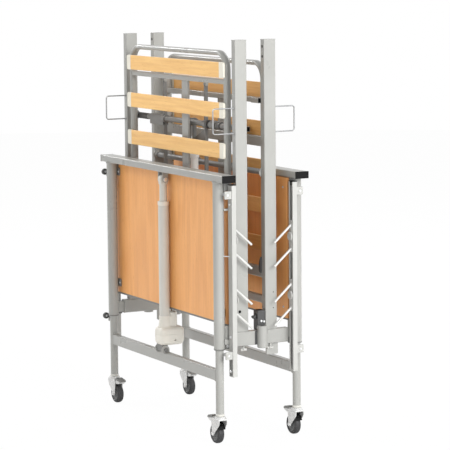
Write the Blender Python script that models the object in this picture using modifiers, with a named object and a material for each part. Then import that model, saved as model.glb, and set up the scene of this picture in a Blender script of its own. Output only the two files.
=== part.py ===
"""Electric care bed, taken apart and parked upright on its own castors.

Metres, +Z up. X runs across the bed and Y from the foot end (-Y) to the head end (+Y).
The origin lies on the floor, in the middle of the parked bed. Two lifting end frames are
joined by transport bars, and the two halves of the lying surface stand on those bars.
"""

from math import cos, pi, sin

import bmesh
import bpy
from mathutils import Matrix, Vector

# Fits and welds
SEAT = 0.0003
SLIDE = 0.0006
WELD = 0.001
PIVOT_PLAY = 0.002
ROUND_SIDES = 20
SMALL_SIDES = 12

# End frames
LEG_SPACING_X = 0.900
LEG_SPACING_Y = 0.320
LEG_DIAMETER = 0.030
LEG_ENGAGEMENT = 0.180
LEG_HEADROOM = 0.027
LIFT_STROKE = 0.400
SLEEVE_DIAMETER = 0.040
SLEEVE_BOTTOM = 0.351
TOP_BAR_LENGTH = 1.032
TOP_BAR_DEPTH = 0.054
TOP_BAR_HEIGHT = 0.026
TOP_BAR_WALL = 0.0025
TOP_BAR_SETBACK = 0.010
CROSSBAR_DEPTH = 0.025
CROSSBAR_HEIGHT = 0.040
CROSSBAR_TOP = 0.273

# End panels
PANEL_WIDTH = 0.880
PANEL_THICKNESS = 0.016
PANEL_BOTTOM = 0.440
PANEL_STRIP_DEPTH = 0.0055
PANEL_STRIP_WIDTH = 0.016
PANEL_STRIP_INSET = 0.012

# Lifting drives
DRIVE_SETBACK = 0.004
DRIVE_EYE_DROP = 0.029
DRIVE_PIN = 0.010
DRIVE_EAR_THICKNESS = 0.005
DRIVE_EAR_WIDTH = 0.030
GEARBOX_LIFT = 0.025
GEARBOX_WIDTH = 0.070
GEARBOX_OUTER_REACH = 0.0325
GEARBOX_INNER_REACH = 0.070
GEARBOX_HEIGHT = 0.071
GEARBOX_ROUNDING = 0.016
GEARBOX_NECK_DIAMETER = 0.052
GEARBOX_NECK_HEIGHT = 0.038
GEARBOX_LUG_WIDTH = 0.028
MOTOR_DIAMETER = 0.040
MOTOR_SETBACK = 0.030
MOTOR_BELOW_PANEL = 0.015
DRIVE_TUBE_DIAMETER = 0.038
DRIVE_TUBE_SPARE = 0.024
DRIVE_COLLAR_DIAMETER = 0.042
DRIVE_COLLAR_HEIGHT = 0.015
PISTON_DIAMETER = 0.027
PISTON_BORE = 0.017
PISTON_EYE_DIAMETER = 0.034
LEAD_SCREW_DIAMETER = 0.014

# Castors
CASTOR_HEIGHT = 0.104
CASTOR_TRAIL = 0.024
CASTOR_STEM_DIAMETER = 0.0216
CASTOR_STEM_LENGTH = 0.040
CASTOR_DOME_DIAMETER = 0.050
CASTOR_DOME_HEIGHT = 0.012
CASTOR_CHEEK_THICKNESS = 0.003
CASTOR_AXLE_DIAMETER = 0.010
CASTOR_AXLE_BOSS = 0.024
WHEEL_DIAMETER = 0.075
WHEEL_WIDTH = 0.026
WHEEL_ROUNDING = 0.006
WHEEL_SIDE_GAP = 0.0015
PEDAL_PIVOT_REACH = 0.020
PEDAL_PIVOT_DIAMETER = 0.005
PEDAL_HUB_DIAMETER = 0.010
PEDAL_LENGTH = 0.076
PEDAL_WIDTH = 0.024
PEDAL_THICKNESS = 0.005
PEDAL_WHEEL_GAP = 0.005

# Guide rails with sliders
RAIL_WIDTH = 0.030
RAIL_DEPTH = 0.018
RAIL_WALL = 0.003
RAIL_LIP = 0.004
RAIL_BOTTOM = 0.252
RAIL_TOP_GAP = 0.008
RAIL_SLEEVE_GAP = 0.005
RAIL_FACE = 0.116
RAIL_BRACKET_HEIGHT = 0.025
RAIL_BRACKET_LOW = 0.378
RAIL_BRACKET_HIGH = 0.858
RAIL_BLOCK_HEIGHT = 0.029
RAIL_BLOCK_DEPTH = 0.031
RAIL_BLOCK_LOW = 0.332
RAIL_BLOCK_HIGH = 0.913
SLIDER_LEVELS = {"lower": 0.5315, "upper": 0.748}
SLIDER_PEG_SPACING = 0.087
SLIDER_END_MARGIN = 0.012
PEG_DIAMETER = 0.008
PEG_REACH = 0.073
PEG_DROP = 0.064

# Transport bars
TRANSPORT_BAR_LIFT = 0.004
TRANSPORT_BAR_HEIGHT = 0.053
TRANSPORT_BAR_WALL = 0.0045
TRANSPORT_BAR_END_GAP = 0.022
STUB_ENGAGEMENT = 0.040
BOSS_DIAMETER = 0.038
BOSS_OUTSET = 0.022
BOSS_Y = 0.0045
BOSS_HEIGHT = 0.081
BOSS_DROP = 0.010
CLAMP_Y = 0.0045
CLAMP_WIDTH = 0.034
CLAMP_DEPTH = 0.031
CLAMP_HEIGHT = 0.055
SPIGOT_HEIGHT = 0.060
HANGER_THICKNESS = 0.008
HANGER_LENGTH = 0.050
HANGER_HEIGHT = 0.042
KNOB_DIAMETER = 0.020
KNOB_LENGTH = 0.013
KNOB_SHANK_DIAMETER = 0.008
KNOB_SHANK_DEPTH = 0.012
KNOB_LEVEL = 0.030

# Side members of the lying surface
POST_WIDTH = 0.027
POST_DEPTH = 0.048
POST_LENGTH = 1.055
POST_WALL = 0.0025
FOOT_HALF_Y = -0.071
HEAD_HALF_Y = 0.0475
HINGE_LEVEL = 0.207
TIE_DEPTH = 0.022
TIE_SETBACK = 0.0115
HINGE_TIE_HEIGHT = 0.038
LOWER_TIE_LEVEL = 0.107
LOWER_TIE_HEIGHT = 0.027
LOOP_LEVEL = 0.768
LOOP_HEIGHT = 0.086
LOOP_REACH = 0.086
LOOP_WIRE = 0.005
LOOP_CORNER = 0.012

# Hinged sections with their slats
SECTION_TUBE = 0.020
SECTION_TUBE_DEPTH = 0.028
SECTION_SIDE_GAP = 0.037
SECTION_OFFSET = 0.0165
SECTION_CORNER = 0.060
SECTION_BAR = 0.020
SECTION_LOWER_BAR_LEVEL = 0.050
HINGE_PIN = 0.010
HINGE_LUG = 0.006
HINGE_LUG_HEIGHT = 0.026
FOOT_SECTION_LENGTH = 0.8085
HEAD_SECTION_LENGTH = 0.768
FOOT_SECTION_BARS = ((0.695, 0.018),)
HEAD_SECTION_BARS = ((0.623, 0.020), (0.473, 0.037))
SPINE_WIDTH = 0.052
SPINE_THICKNESS = 0.005
SPINE_X = 0.057
SLAT_COUNT = 5
SLAT_LENGTH = 0.800
SLAT_HEIGHT = 0.056
SLAT_THICKNESS = 0.008
FOOT_SLAT_TOP = 0.738
FOOT_SLAT_PITCH = 0.146
HEAD_SLAT_TOP = 0.6585
HEAD_SLAT_PITCH = 0.1417

# Lifting shafts and drives of the sections
SHAFT_DIAMETER = 0.026
SHAFT_SETBACK = 0.011
FOOT_SHAFT_LEVEL = 0.5285
HEAD_SHAFT_LEVEL = 0.365
BEARING_WIDTH = 0.025
BEARING_SIZE = 0.044
FOOT_ARM_LENGTH = 0.155
HEAD_ARM_LENGTH = 0.115
ARM_TAIL = 0.215
ARM_THICKNESS = 0.008
ARM_WIDTH = 0.014
ARM_X = 0.170
LEVER_LENGTH = 0.030
LEVER_THICKNESS = 0.008
LEVER_PIN = 0.010
FOOT_DRIVE_X = 0.014
HEAD_DRIVE_X = -0.072
SECTION_GEARBOX_WIDTH = 0.080
SECTION_GEARBOX_DEPTH = 0.048
SECTION_GEARBOX_HEIGHT = 0.090
SECTION_GEARBOX_ROUNDING = 0.010
DRIVE_SHELF_LIFT = 0.003
SECTION_MOTOR_DIAMETER = 0.042
SECTION_MOTOR_LENGTH = 0.110
DRIVE_GUIDE_DIAMETER = 0.028
DRIVE_GUIDE_GAP = 0.060
PUSH_ROD_DIAMETER = 0.018
PUSH_ROD_EYE = 0.026
PUSH_ROD_EYE_WIDTH = 0.012
PUSH_ROD_ENGAGEMENT = 0.100

# Worked out from the sizes above
LEG_X = LEG_SPACING_X / 2
LEG_Y = LEG_SPACING_Y / 2
LEG_TOP = SLEEVE_BOTTOM + LIFT_STROKE + LEG_ENGAGEMENT
TOP_BAR_BOTTOM = LEG_TOP + LEG_HEADROOM
TOP_BAR_Y = LEG_Y - TOP_BAR_SETBACK
PANEL_FACE = LEG_Y - SLEEVE_DIAMETER / 2 - PANEL_STRIP_DEPTH
DRIVE_Y = LEG_Y - DRIVE_SETBACK
DRIVE_EYE_Z = TOP_BAR_BOTTOM - DRIVE_EYE_DROP
GEARBOX_BOTTOM = CROSSBAR_TOP + GEARBOX_LIFT
GEARBOX_TOP = GEARBOX_BOTTOM + GEARBOX_HEIGHT
DRIVE_TUBE_BOTTOM = GEARBOX_TOP + GEARBOX_NECK_HEIGHT
DRIVE_TUBE_TOP = DRIVE_TUBE_BOTTOM + LIFT_STROKE + DRIVE_TUBE_SPARE
DRIVE_PIN_Z = CROSSBAR_TOP + GEARBOX_LIFT / 2
RAIL_X = LEG_X + SLEEVE_DIAMETER / 2 + RAIL_SLEEVE_GAP + RAIL_WIDTH / 2
TRANSPORT_BAR_BOTTOM = SLEEVE_BOTTOM + TRANSPORT_BAR_LIFT
TRANSPORT_BAR_TOP = TRANSPORT_BAR_BOTTOM + TRANSPORT_BAR_HEIGHT
TRANSPORT_BAR_END = LEG_Y - SLEEVE_DIAMETER / 2 - TRANSPORT_BAR_END_GAP
POST_BOTTOM = TRANSPORT_BAR_TOP + SEAT
HINGE_Z = POST_BOTTOM + HINGE_LEVEL
SECTION_X = LEG_X - POST_WIDTH / 2 - SECTION_SIDE_GAP - SECTION_TUBE / 2
DRIVE_SHELF_Z = HINGE_Z + HINGE_TIE_HEIGHT / 2 + DRIVE_SHELF_LIFT
WHEEL_RADIUS = WHEEL_DIAMETER / 2
LEFT, RIGHT = -1, 1
FOOT, HEAD = -1, 1
SIDES = {"left": LEFT, "right": RIGHT}
ENDS = {"foot": FOOT, "head": HEAD}


def clear_scene():
    """Remove every object, so that the script starts from an empty scene."""
    for existing in list(bpy.data.objects):
        bpy.data.objects.remove(existing, do_unlink=True)


def new_collection(name):
    """A collection linked to the scene."""
    collection = bpy.data.collections.new(name)
    bpy.context.scene.collection.children.link(collection)
    return collection


def finish_colour(name, colour, roughness, metallic=0.0):
    """A plain Principled material."""
    material = bpy.data.materials.new(name)
    material.use_nodes = True
    shader = material.node_tree.nodes["Principled BSDF"]
    shader.inputs["Base Color"].default_value = (*colour, 1.0)
    shader.inputs["Roughness"].default_value = roughness
    shader.inputs["Metallic"].default_value = metallic
    return material


clear_scene()
PARTS = new_collection("parked_care_bed")
TOOLS = new_collection("cutters")
GREY_COAT = finish_colour("grey_powder_coat", (0.46, 0.47, 0.47), 0.45)
WOOD_BOARD = finish_colour("beech_board", (0.72, 0.42, 0.20), 0.50)
SLAT_WOOD = finish_colour("slat_wood", (0.83, 0.60, 0.33), 0.50)
CREAM_PLASTIC = finish_colour("cream_plastic", (0.80, 0.79, 0.74), 0.40)
PALE_TUBE = finish_colour("pale_tube", (0.66, 0.66, 0.64), 0.40)
WHITE_PLASTIC = finish_colour("white_plastic", (0.86, 0.86, 0.85), 0.35)
BLACK_PLASTIC = finish_colour("black_plastic", (0.03, 0.03, 0.03), 0.50)
DARK_TYRE = finish_colour("dark_tyre", (0.09, 0.09, 0.10), 0.70)
ZINC = finish_colour("zinc_plate", (0.75, 0.75, 0.76), 0.35, 0.8)


def scratch_object(mesh, name="scratch"):
    """An object for a bmesh, kept with the cutters until it is named as a piece."""
    data = bpy.data.meshes.new(name)
    mesh.to_mesh(data)
    mesh.free()
    thing = bpy.data.objects.new(name, data)
    thing.hide_render = True
    thing.display_type = "WIRE"
    TOOLS.objects.link(thing)
    return thing


def block(x_span, y_span, z_span):
    """A box between two values on each axis, given in either order."""
    spans = [sorted(span) for span in (x_span, y_span, z_span)]
    size = [high - low for low, high in spans]
    middle = [(high + low) / 2 for low, high in spans]
    mesh = bmesh.new()
    place = Matrix.Translation(middle) @ Matrix.Diagonal((*size, 1.0))
    bmesh.ops.create_cube(mesh, size=1.0, matrix=place)
    return scratch_object(mesh)


def centred(middle, width):
    """The two ends of a width about its middle."""
    return middle - width / 2, middle + width / 2


def rod(start, end, diameter, sides=ROUND_SIDES, end_diameter=None):
    """A round bar from one point to another, or a cone where its end diameter differs."""
    start = Vector(start)
    end = Vector(end)
    axis = end - start
    turn = axis.to_track_quat("Z", "Y").to_matrix().to_4x4()
    mesh = bmesh.new()
    bmesh.ops.create_cone(
        mesh,
        cap_ends=True,
        segments=sides,
        radius1=diameter / 2,
        radius2=(end_diameter or diameter) / 2,
        depth=axis.length,
        matrix=Matrix.Translation((start + end) / 2) @ turn,
    )
    return scratch_object(mesh)


def upright(x, y, z_span, diameter, sides=ROUND_SIDES):
    """A vertical round bar."""
    low, high = sorted(z_span)
    return rod((x, y, low), (x, y, high), diameter, sides)


def crosswise(x_span, y, z, diameter, sides=SMALL_SIDES):
    """A round bar along X."""
    low, high = sorted(x_span)
    return rod((low, y, z), (high, y, z), diameter, sides)


def lengthwise(x, y_span, z, diameter, sides=SMALL_SIDES):
    """A round bar along Y."""
    low, high = sorted(y_span)
    return rod((x, low, z), (x, high, z), diameter, sides)


def curve_solid(curve):
    """Turn a curve into a closed mesh object and remove the curve."""
    holder = bpy.data.objects.new("curve", curve)
    TOOLS.objects.link(holder)
    depsgraph = bpy.context.evaluated_depsgraph_get()
    data = bpy.data.meshes.new_from_object(holder.evaluated_get(depsgraph))
    mesh = bmesh.new()
    mesh.from_mesh(data)
    bmesh.ops.remove_doubles(mesh, verts=mesh.verts, dist=0.00001)
    bmesh.ops.recalc_face_normals(mesh, faces=mesh.faces)
    bpy.data.objects.remove(holder, do_unlink=True)
    bpy.data.meshes.remove(data)
    return scratch_object(mesh)


def bent_tube(points, diameter):
    """A round tube or wire along a line of points."""
    curve = bpy.data.curves.new("path", "CURVE")
    curve.dimensions = "3D"
    curve.bevel_depth = diameter / 2
    curve.bevel_resolution = 2
    curve.use_fill_caps = True
    spline = curve.splines.new("POLY")
    spline.points.add(len(points) - 1)
    for point, place in zip(spline.points, points):
        point.co = (*place, 1.0)
    return curve_solid(curve)


def cheek_plate(outline, y, thickness):
    """A flat plate square to Y, from an outline of X and Z values."""
    curve = bpy.data.curves.new("outline", "CURVE")
    curve.dimensions = "2D"
    curve.fill_mode = "BOTH"
    curve.extrude = thickness / 2
    spline = curve.splines.new("POLY")
    spline.points.add(len(outline) - 1)
    spline.use_cyclic_u = True
    for point, (x, z) in zip(spline.points, outline):
        point.co = (x, z, 0.0, 1.0)
    plate = curve_solid(curve)
    plate.data.transform(Matrix.Translation((0.0, y, 0.0)) @ Matrix.Rotation(pi / 2, 4, "X"))
    return plate


def boolean(body, tool, operation):
    """Apply one Boolean to a body and remove the tool."""
    modifier = body.modifiers.new(operation, "BOOLEAN")
    modifier.operation = operation
    modifier.solver = "EXACT"
    modifier.object = tool
    depsgraph = bpy.context.evaluated_depsgraph_get()
    result = bpy.data.meshes.new_from_object(body.evaluated_get(depsgraph))
    body.modifiers.clear()
    replaced = body.data
    body.data = result
    bpy.data.meshes.remove(replaced)
    bpy.data.objects.remove(tool, do_unlink=True)


def weld(body, *members):
    """Join members to a body."""
    for member in members:
        boolean(body, member, "UNION")
    return body


def cut(body, *tools):
    """Cut tools out of a body."""
    for tool in tools:
        boolean(body, tool, "DIFFERENCE")
    return body


def round_edges(body, width, segments=2):
    """Round all sharp edges of a body and keep the result in its mesh."""
    modifier = body.modifiers.new("rounding", "BEVEL")
    modifier.width = width
    modifier.segments = segments
    modifier.limit_method = "ANGLE"
    modifier.angle_limit = pi / 4
    depsgraph = bpy.context.evaluated_depsgraph_get()
    result = bpy.data.meshes.new_from_object(body.evaluated_get(depsgraph))
    body.modifiers.clear()
    replaced = body.data
    body.data = result
    bpy.data.meshes.remove(replaced)
    return body


def piece(body, name, material, origin=(0.0, 0.0, 0.0)):
    """Name a finished body, give it its material and put its origin on its joint's axis."""
    body.name = name
    body.data.name = name
    body.hide_render = False
    body.display_type = "TEXTURED"
    TOOLS.objects.unlink(body)
    PARTS.objects.link(body)
    body.data.transform(Matrix.Translation(-Vector(origin)))
    body.location = origin
    body.data.materials.clear()
    body.data.materials.append(material)
    body.data.shade_smooth()
    body.data.set_sharp_from_angle(angle=pi / 6)
    return body


def quarter_turn(centre, first, second, radius, steps):
    """Points on a quarter circle from one direction to the next, both unit vectors."""
    points = []
    for step in range(steps + 1):
        angle = pi / 2 * step / steps
        points.append(Vector(centre) + (Vector(first) * cos(angle) + Vector(second) * sin(angle)) * radius)
    return points


def rounded_u(start, end, reach, corner, steps=5):
    """A U-shaped path with round corners: out from start along reach, across, and back to end."""
    start = Vector(start)
    end = Vector(end)
    reach = Vector(reach)
    out = reach.normalized()
    across = (end - start).normalized()
    first = start + reach - (out - across) * corner
    last = end + reach - (out + across) * corner
    return [
        start,
        *quarter_turn(first, -across, out, corner, steps),
        *quarter_turn(last, out, across, corner, steps),
        end,
    ]


def leg_frame(end_name, end):
    """Two tubular inner legs, the lower crossbar and the ears that hold the lifting drive."""
    y = end * LEG_Y
    drive_y = end * DRIVE_Y
    crossbar_z = (CROSSBAR_TOP - CROSSBAR_HEIGHT, CROSSBAR_TOP)
    body = block((-LEG_X, LEG_X), centred(y, CROSSBAR_DEPTH), crossbar_z)
    bore = CASTOR_STEM_DIAMETER + 2 * SLIDE
    for x in (-LEG_X, LEG_X):
        weld(body, upright(x, y, (CASTOR_HEIGHT, LEG_TOP), LEG_DIAMETER))
        cut(body, upright(x, y, (CASTOR_HEIGHT - WELD, LEG_TOP + WELD), bore))
    ear_x = GEARBOX_LUG_WIDTH / 2 + SLIDE
    ear_z = (CROSSBAR_TOP - WELD, GEARBOX_BOTTOM - SEAT)
    for side in (LEFT, RIGHT):
        ear_span = (side * ear_x, side * (ear_x + DRIVE_EAR_THICKNESS))
        weld(body, block(ear_span, centred(drive_y, DRIVE_EAR_WIDTH), ear_z))
    hole_x = ear_x + DRIVE_EAR_THICKNESS + WELD
    cut(body, crosswise((-hole_x, hole_x), drive_y, DRIVE_PIN_Z, DRIVE_PIN + 2 * SLIDE))
    return piece(body, f"{end_name}_leg_frame", GREY_COAT, (0.0, y, CASTOR_HEIGHT))


def lift_frame(end_name, end):
    """Top bar, two sleeves, transport-bar stubs, drive ears, panel strips and rail brackets."""
    y = end * LEG_Y
    bar_y = end * TOP_BAR_Y
    bar_z = (TOP_BAR_BOTTOM, TOP_BAR_BOTTOM + TOP_BAR_HEIGHT)
    body = block(centred(0.0, TOP_BAR_LENGTH), centred(bar_y, TOP_BAR_DEPTH), bar_z)
    inside = centred(bar_y, TOP_BAR_DEPTH - 2 * TOP_BAR_WALL)
    hollow_z = (bar_z[0] + TOP_BAR_WALL, bar_z[1] - TOP_BAR_WALL)
    cut(body, block(centred(0.0, TOP_BAR_LENGTH + 2 * WELD), inside, hollow_z))
    stub_width = POST_WIDTH - 2 * TRANSPORT_BAR_WALL - 2 * SLIDE
    stub_z = (
        TRANSPORT_BAR_BOTTOM + TRANSPORT_BAR_WALL + SLIDE,
        TRANSPORT_BAR_TOP - TRANSPORT_BAR_WALL - SLIDE,
    )
    stub_y = (y, end * (TRANSPORT_BAR_END - STUB_ENGAGEMENT))
    strip_x = PANEL_WIDTH / 2
    strip_y = (end * (PANEL_FACE + SEAT), y)
    strip_z = (PANEL_BOTTOM + PANEL_STRIP_INSET, TOP_BAR_BOTTOM - PANEL_STRIP_INSET)
    bracket_y = (end * (RAIL_FACE + RAIL_DEPTH / 3), y)
    rail_inner = RAIL_X - RAIL_WIDTH / 2
    for side in (LEFT, RIGHT):
        x = side * LEG_X
        weld(body, upright(x, y, (SLEEVE_BOTTOM, TOP_BAR_BOTTOM + TOP_BAR_WALL / 2), SLEEVE_DIAMETER))
        weld(body, block(centred(x, stub_width), stub_y, stub_z))
        weld(body, block(centred(side * strip_x, PANEL_STRIP_WIDTH), strip_y, strip_z))
        for level in (RAIL_BRACKET_LOW, RAIL_BRACKET_HIGH):
            bracket_x = (side * (strip_x + PANEL_STRIP_WIDTH), side * (rail_inner - SEAT))
            weld(body, block(bracket_x, bracket_y, centred(level, RAIL_BRACKET_HEIGHT)))
        bore = LEG_DIAMETER + 2 * SLIDE
        cut(body, upright(x, y, (SLEEVE_BOTTOM - WELD, TOP_BAR_BOTTOM - WELD), bore))
    drive_y = end * DRIVE_Y
    ear_x = PISTON_DIAMETER / 2 + SLIDE
    ear_z = (DRIVE_EYE_Z - DRIVE_EAR_WIDTH / 2, TOP_BAR_BOTTOM + WELD)
    for side in (LEFT, RIGHT):
        ear_span = (side * ear_x, side * (ear_x + DRIVE_EAR_THICKNESS))
        weld(body, block(ear_span, centred(drive_y, DRIVE_EAR_WIDTH), ear_z))
    hole_x = ear_x + DRIVE_EAR_THICKNESS + WELD
    cut(body, crosswise((-hole_x, hole_x), drive_y, DRIVE_EYE_Z, DRIVE_PIN + 2 * SLIDE))
    return piece(body, f"{end_name}_lift_frame", GREY_COAT)


def end_panel(end_name, end):
    """The wood-look board between the sleeves."""
    y_span = (end * PANEL_FACE, end * (PANEL_FACE - PANEL_THICKNESS))
    body = block(centred(0.0, PANEL_WIDTH), y_span, (PANEL_BOTTOM, TOP_BAR_BOTTOM - SEAT))
    return piece(body, f"{end_name}_end_panel", WOOD_BOARD)


def lift_drive(end_name, end):
    """Gear housing with motor can and outer tube, its lead screw, and the piston with its eye."""
    y = end * DRIVE_Y
    outer = end * (DRIVE_Y + GEARBOX_OUTER_REACH)
    inner = end * (DRIVE_Y - GEARBOX_INNER_REACH)
    gearbox = block(centred(0.0, GEARBOX_WIDTH), (outer, inner), (GEARBOX_BOTTOM, GEARBOX_TOP))
    round_edges(gearbox, GEARBOX_ROUNDING)
    neck_low = (0.0, y, GEARBOX_TOP - WELD)
    neck_high = (0.0, y, DRIVE_TUBE_BOTTOM + WELD)
    neck = rod(neck_low, neck_high, GEARBOX_NECK_DIAMETER, end_diameter=DRIVE_COLLAR_DIAMETER)
    weld(gearbox, neck)
    weld(gearbox, upright(0.0, y, (DRIVE_TUBE_BOTTOM, DRIVE_TUBE_TOP + WELD), DRIVE_TUBE_DIAMETER))
    collar_top = DRIVE_TUBE_TOP + DRIVE_COLLAR_HEIGHT
    weld(gearbox, upright(0.0, y, (DRIVE_TUBE_TOP, collar_top), DRIVE_COLLAR_DIAMETER))
    motor_y = end * (DRIVE_Y - MOTOR_SETBACK)
    motor_z = (GEARBOX_TOP - GEARBOX_ROUNDING, PANEL_BOTTOM - MOTOR_BELOW_PANEL)
    weld(gearbox, upright(0.0, motor_y, motor_z, MOTOR_DIAMETER))
    lug_z = (CROSSBAR_TOP + SEAT, GEARBOX_BOTTOM + WELD)
    lug_y = centred(y, DRIVE_EAR_WIDTH)
    weld(gearbox, block(centred(0.0, GEARBOX_LUG_WIDTH), lug_y, lug_z))
    pin_length = GEARBOX_LUG_WIDTH + 2 * (DRIVE_EAR_THICKNESS + PIVOT_PLAY)
    weld(gearbox, crosswise(centred(0.0, pin_length), y, DRIVE_PIN_Z, DRIVE_PIN))
    bore_bottom = DRIVE_TUBE_BOTTOM + WELD
    cut(gearbox, upright(0.0, y, (bore_bottom, collar_top + WELD), PISTON_DIAMETER + 2 * SLIDE))
    piece(gearbox, f"{end_name}_lift_drive", CREAM_PLASTIC, (0.0, y, DRIVE_PIN_Z))

    piston_bottom = bore_bottom + PIVOT_PLAY
    screw_top = DRIVE_TUBE_TOP
    screw = upright(0.0, y, (bore_bottom + SEAT, screw_top), LEAD_SCREW_DIAMETER, SMALL_SIDES)
    piece(screw, f"{end_name}_lead_screw", ZINC, (0.0, y, bore_bottom))

    piston = upright(0.0, y, (piston_bottom, DRIVE_EYE_Z), PISTON_DIAMETER)
    eye_width = PISTON_DIAMETER - 2 * WELD
    weld(piston, crosswise(centred(0.0, eye_width), y, DRIVE_EYE_Z, PISTON_EYE_DIAMETER, ROUND_SIDES))
    eye_pin = PISTON_DIAMETER + 2 * (DRIVE_EAR_THICKNESS + PIVOT_PLAY)
    weld(piston, crosswise(centred(0.0, eye_pin), y, DRIVE_EYE_Z, DRIVE_PIN))
    cut(piston, upright(0.0, y, (piston_bottom - WELD, screw_top + PIVOT_PLAY), PISTON_BORE, SMALL_SIDES))
    piece(piston, f"{end_name}_lift_piston", PALE_TUBE, (0.0, y, DRIVE_EYE_Z))


def castor(name, x, y, inward):
    """Fork with stem and axle, wheel, and brake pedal; the wheel trails towards the bed's middle."""
    axle_x = x + inward * CASTOR_TRAIL
    dome_z = (CASTOR_HEIGHT - SEAT - CASTOR_DOME_HEIGHT, CASTOR_HEIGHT - SEAT)
    fork = upright(x, y, dome_z, CASTOR_DOME_DIAMETER)
    weld(fork, upright(x, y, (dome_z[0] + WELD, CASTOR_HEIGHT + CASTOR_STEM_LENGTH), CASTOR_STEM_DIAMETER))
    cheek_gap = WHEEL_WIDTH / 2 + WHEEL_SIDE_GAP
    cheek_y = cheek_gap + CASTOR_CHEEK_THICKNESS / 2
    cheek_top = dome_z[0] + CASTOR_DOME_HEIGHT / 2
    dome_reach = CASTOR_DOME_DIAMETER / 3
    pedal_x = x + inward * PEDAL_PIVOT_REACH
    pedal_z = WHEEL_DIAMETER + PEDAL_WHEEL_GAP + PEDAL_HUB_DIAMETER / 2
    boss = CASTOR_AXLE_BOSS / 2
    outline = [(x - inward * dome_reach, cheek_top), (x - inward * dome_reach, dome_z[0])]
    for step in range(-1, 3):
        angle = pi / 4 * step
        outline.append((axle_x + inward * boss * sin(angle), WHEEL_RADIUS - boss * cos(angle)))
    outline.append((pedal_x + inward * PEDAL_HUB_DIAMETER, pedal_z))
    outline.append((pedal_x + inward * PEDAL_HUB_DIAMETER, cheek_top))
    pivot_hole = PEDAL_PIVOT_DIAMETER + 2 * SLIDE
    hole_reach = cheek_gap + CASTOR_CHEEK_THICKNESS + WELD
    for side in (LEFT, RIGHT):
        weld(fork, cheek_plate(outline, y + side * cheek_y, CASTOR_CHEEK_THICKNESS))
    axle_reach = cheek_gap + CASTOR_CHEEK_THICKNESS / 2
    weld(fork, lengthwise(axle_x, centred(y, 2 * axle_reach), WHEEL_RADIUS, CASTOR_AXLE_DIAMETER))
    cut(fork, lengthwise(pedal_x, centred(y, 2 * hole_reach), pedal_z, pivot_hole))
    piece(fork, f"{name}_castor_fork", ZINC, (x, y, CASTOR_HEIGHT))

    wheel = lengthwise(axle_x, centred(y, WHEEL_WIDTH), WHEEL_RADIUS, WHEEL_DIAMETER, 28)
    round_edges(wheel, WHEEL_ROUNDING)
    hub_bore = CASTOR_AXLE_DIAMETER + 2 * SLIDE
    cut(wheel, lengthwise(axle_x, centred(y, 2 * WHEEL_WIDTH), WHEEL_RADIUS, hub_bore))
    piece(wheel, f"{name}_castor_wheel", DARK_TYRE, (axle_x, y, WHEEL_RADIUS))

    pedal_span = (pedal_x, pedal_x + inward * PEDAL_LENGTH)
    pedal = block(pedal_span, centred(y, PEDAL_WIDTH), centred(pedal_z, PEDAL_THICKNESS))
    weld(pedal, lengthwise(pedal_x, centred(y, PEDAL_WIDTH), pedal_z, PEDAL_HUB_DIAMETER))
    weld(pedal, lengthwise(pedal_x, centred(y, 2 * axle_reach), pedal_z, PEDAL_PIVOT_DIAMETER))
    piece(pedal, f"{name}_castor_pedal", BLACK_PLASTIC, (pedal_x, y, pedal_z))


def guide_rail(name, side, end):
    """A lipped channel, open towards the middle of the bed, with a block near each end."""
    x = side * RAIL_X
    back = RAIL_FACE + RAIL_DEPTH
    z_span = (RAIL_BOTTOM, TOP_BAR_BOTTOM - RAIL_TOP_GAP)
    through = (RAIL_BOTTOM - WELD, TOP_BAR_BOTTOM)
    rail = block(centred(x, RAIL_WIDTH), (end * RAIL_FACE, end * back), z_span)
    block_x = (side * (LEG_X + SLEEVE_DIAMETER / 2 + SEAT), side * (RAIL_X + RAIL_WIDTH / 2 - WELD))
    block_y = (end * (back - WELD), end * (back + RAIL_BLOCK_DEPTH))
    for level in (RAIL_BLOCK_LOW, RAIL_BLOCK_HIGH):
        weld(rail, block(block_x, block_y, centred(level, RAIL_BLOCK_HEIGHT)))
    inner_width = RAIL_WIDTH - 2 * RAIL_WALL
    inner_y = (end * (RAIL_FACE + RAIL_WALL), end * (back - RAIL_WALL))
    cut(rail, block(centred(x, inner_width), inner_y, through))
    slot_y = (end * (RAIL_FACE - WELD), end * (RAIL_FACE + RAIL_WALL + WELD))
    cut(rail, block(centred(x, inner_width - 2 * RAIL_LIP), slot_y, through))
    piece(rail, f"{name}_guide_rail", WHITE_PLASTIC)


def rail_slider(name, side, end, level):
    """A slider that runs in a guide rail, with its pair of slanting pegs."""
    x = side * RAIL_X
    height = SLIDER_PEG_SPACING + PEG_DIAMETER + 2 * SLIDER_END_MARGIN
    z_span = centred(level, height)
    inner_width = RAIL_WIDTH - 2 * RAIL_WALL - 2 * SLIDE
    slot_width = inner_width - 2 * RAIL_LIP
    front = RAIL_FACE + RAIL_WALL + SLIDE
    back = RAIL_FACE + RAIL_DEPTH - RAIL_WALL - SLIDE
    body = block(centred(x, inner_width), (end * front, end * back), z_span)
    weld(body, block(centred(x, slot_width), (end * (RAIL_FACE - WELD), end * (front + WELD)), z_span))
    for step in (-1, 1):
        root = (x, end * front, level + step * SLIDER_PEG_SPACING / 2)
        tip = (x, end * (front - PEG_REACH), root[2] - PEG_DROP)
        weld(body, rod(root, tip, PEG_DIAMETER, SMALL_SIDES))
    piece(body, name, WHITE_PLASTIC, (x, end * RAIL_FACE, level))


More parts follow.
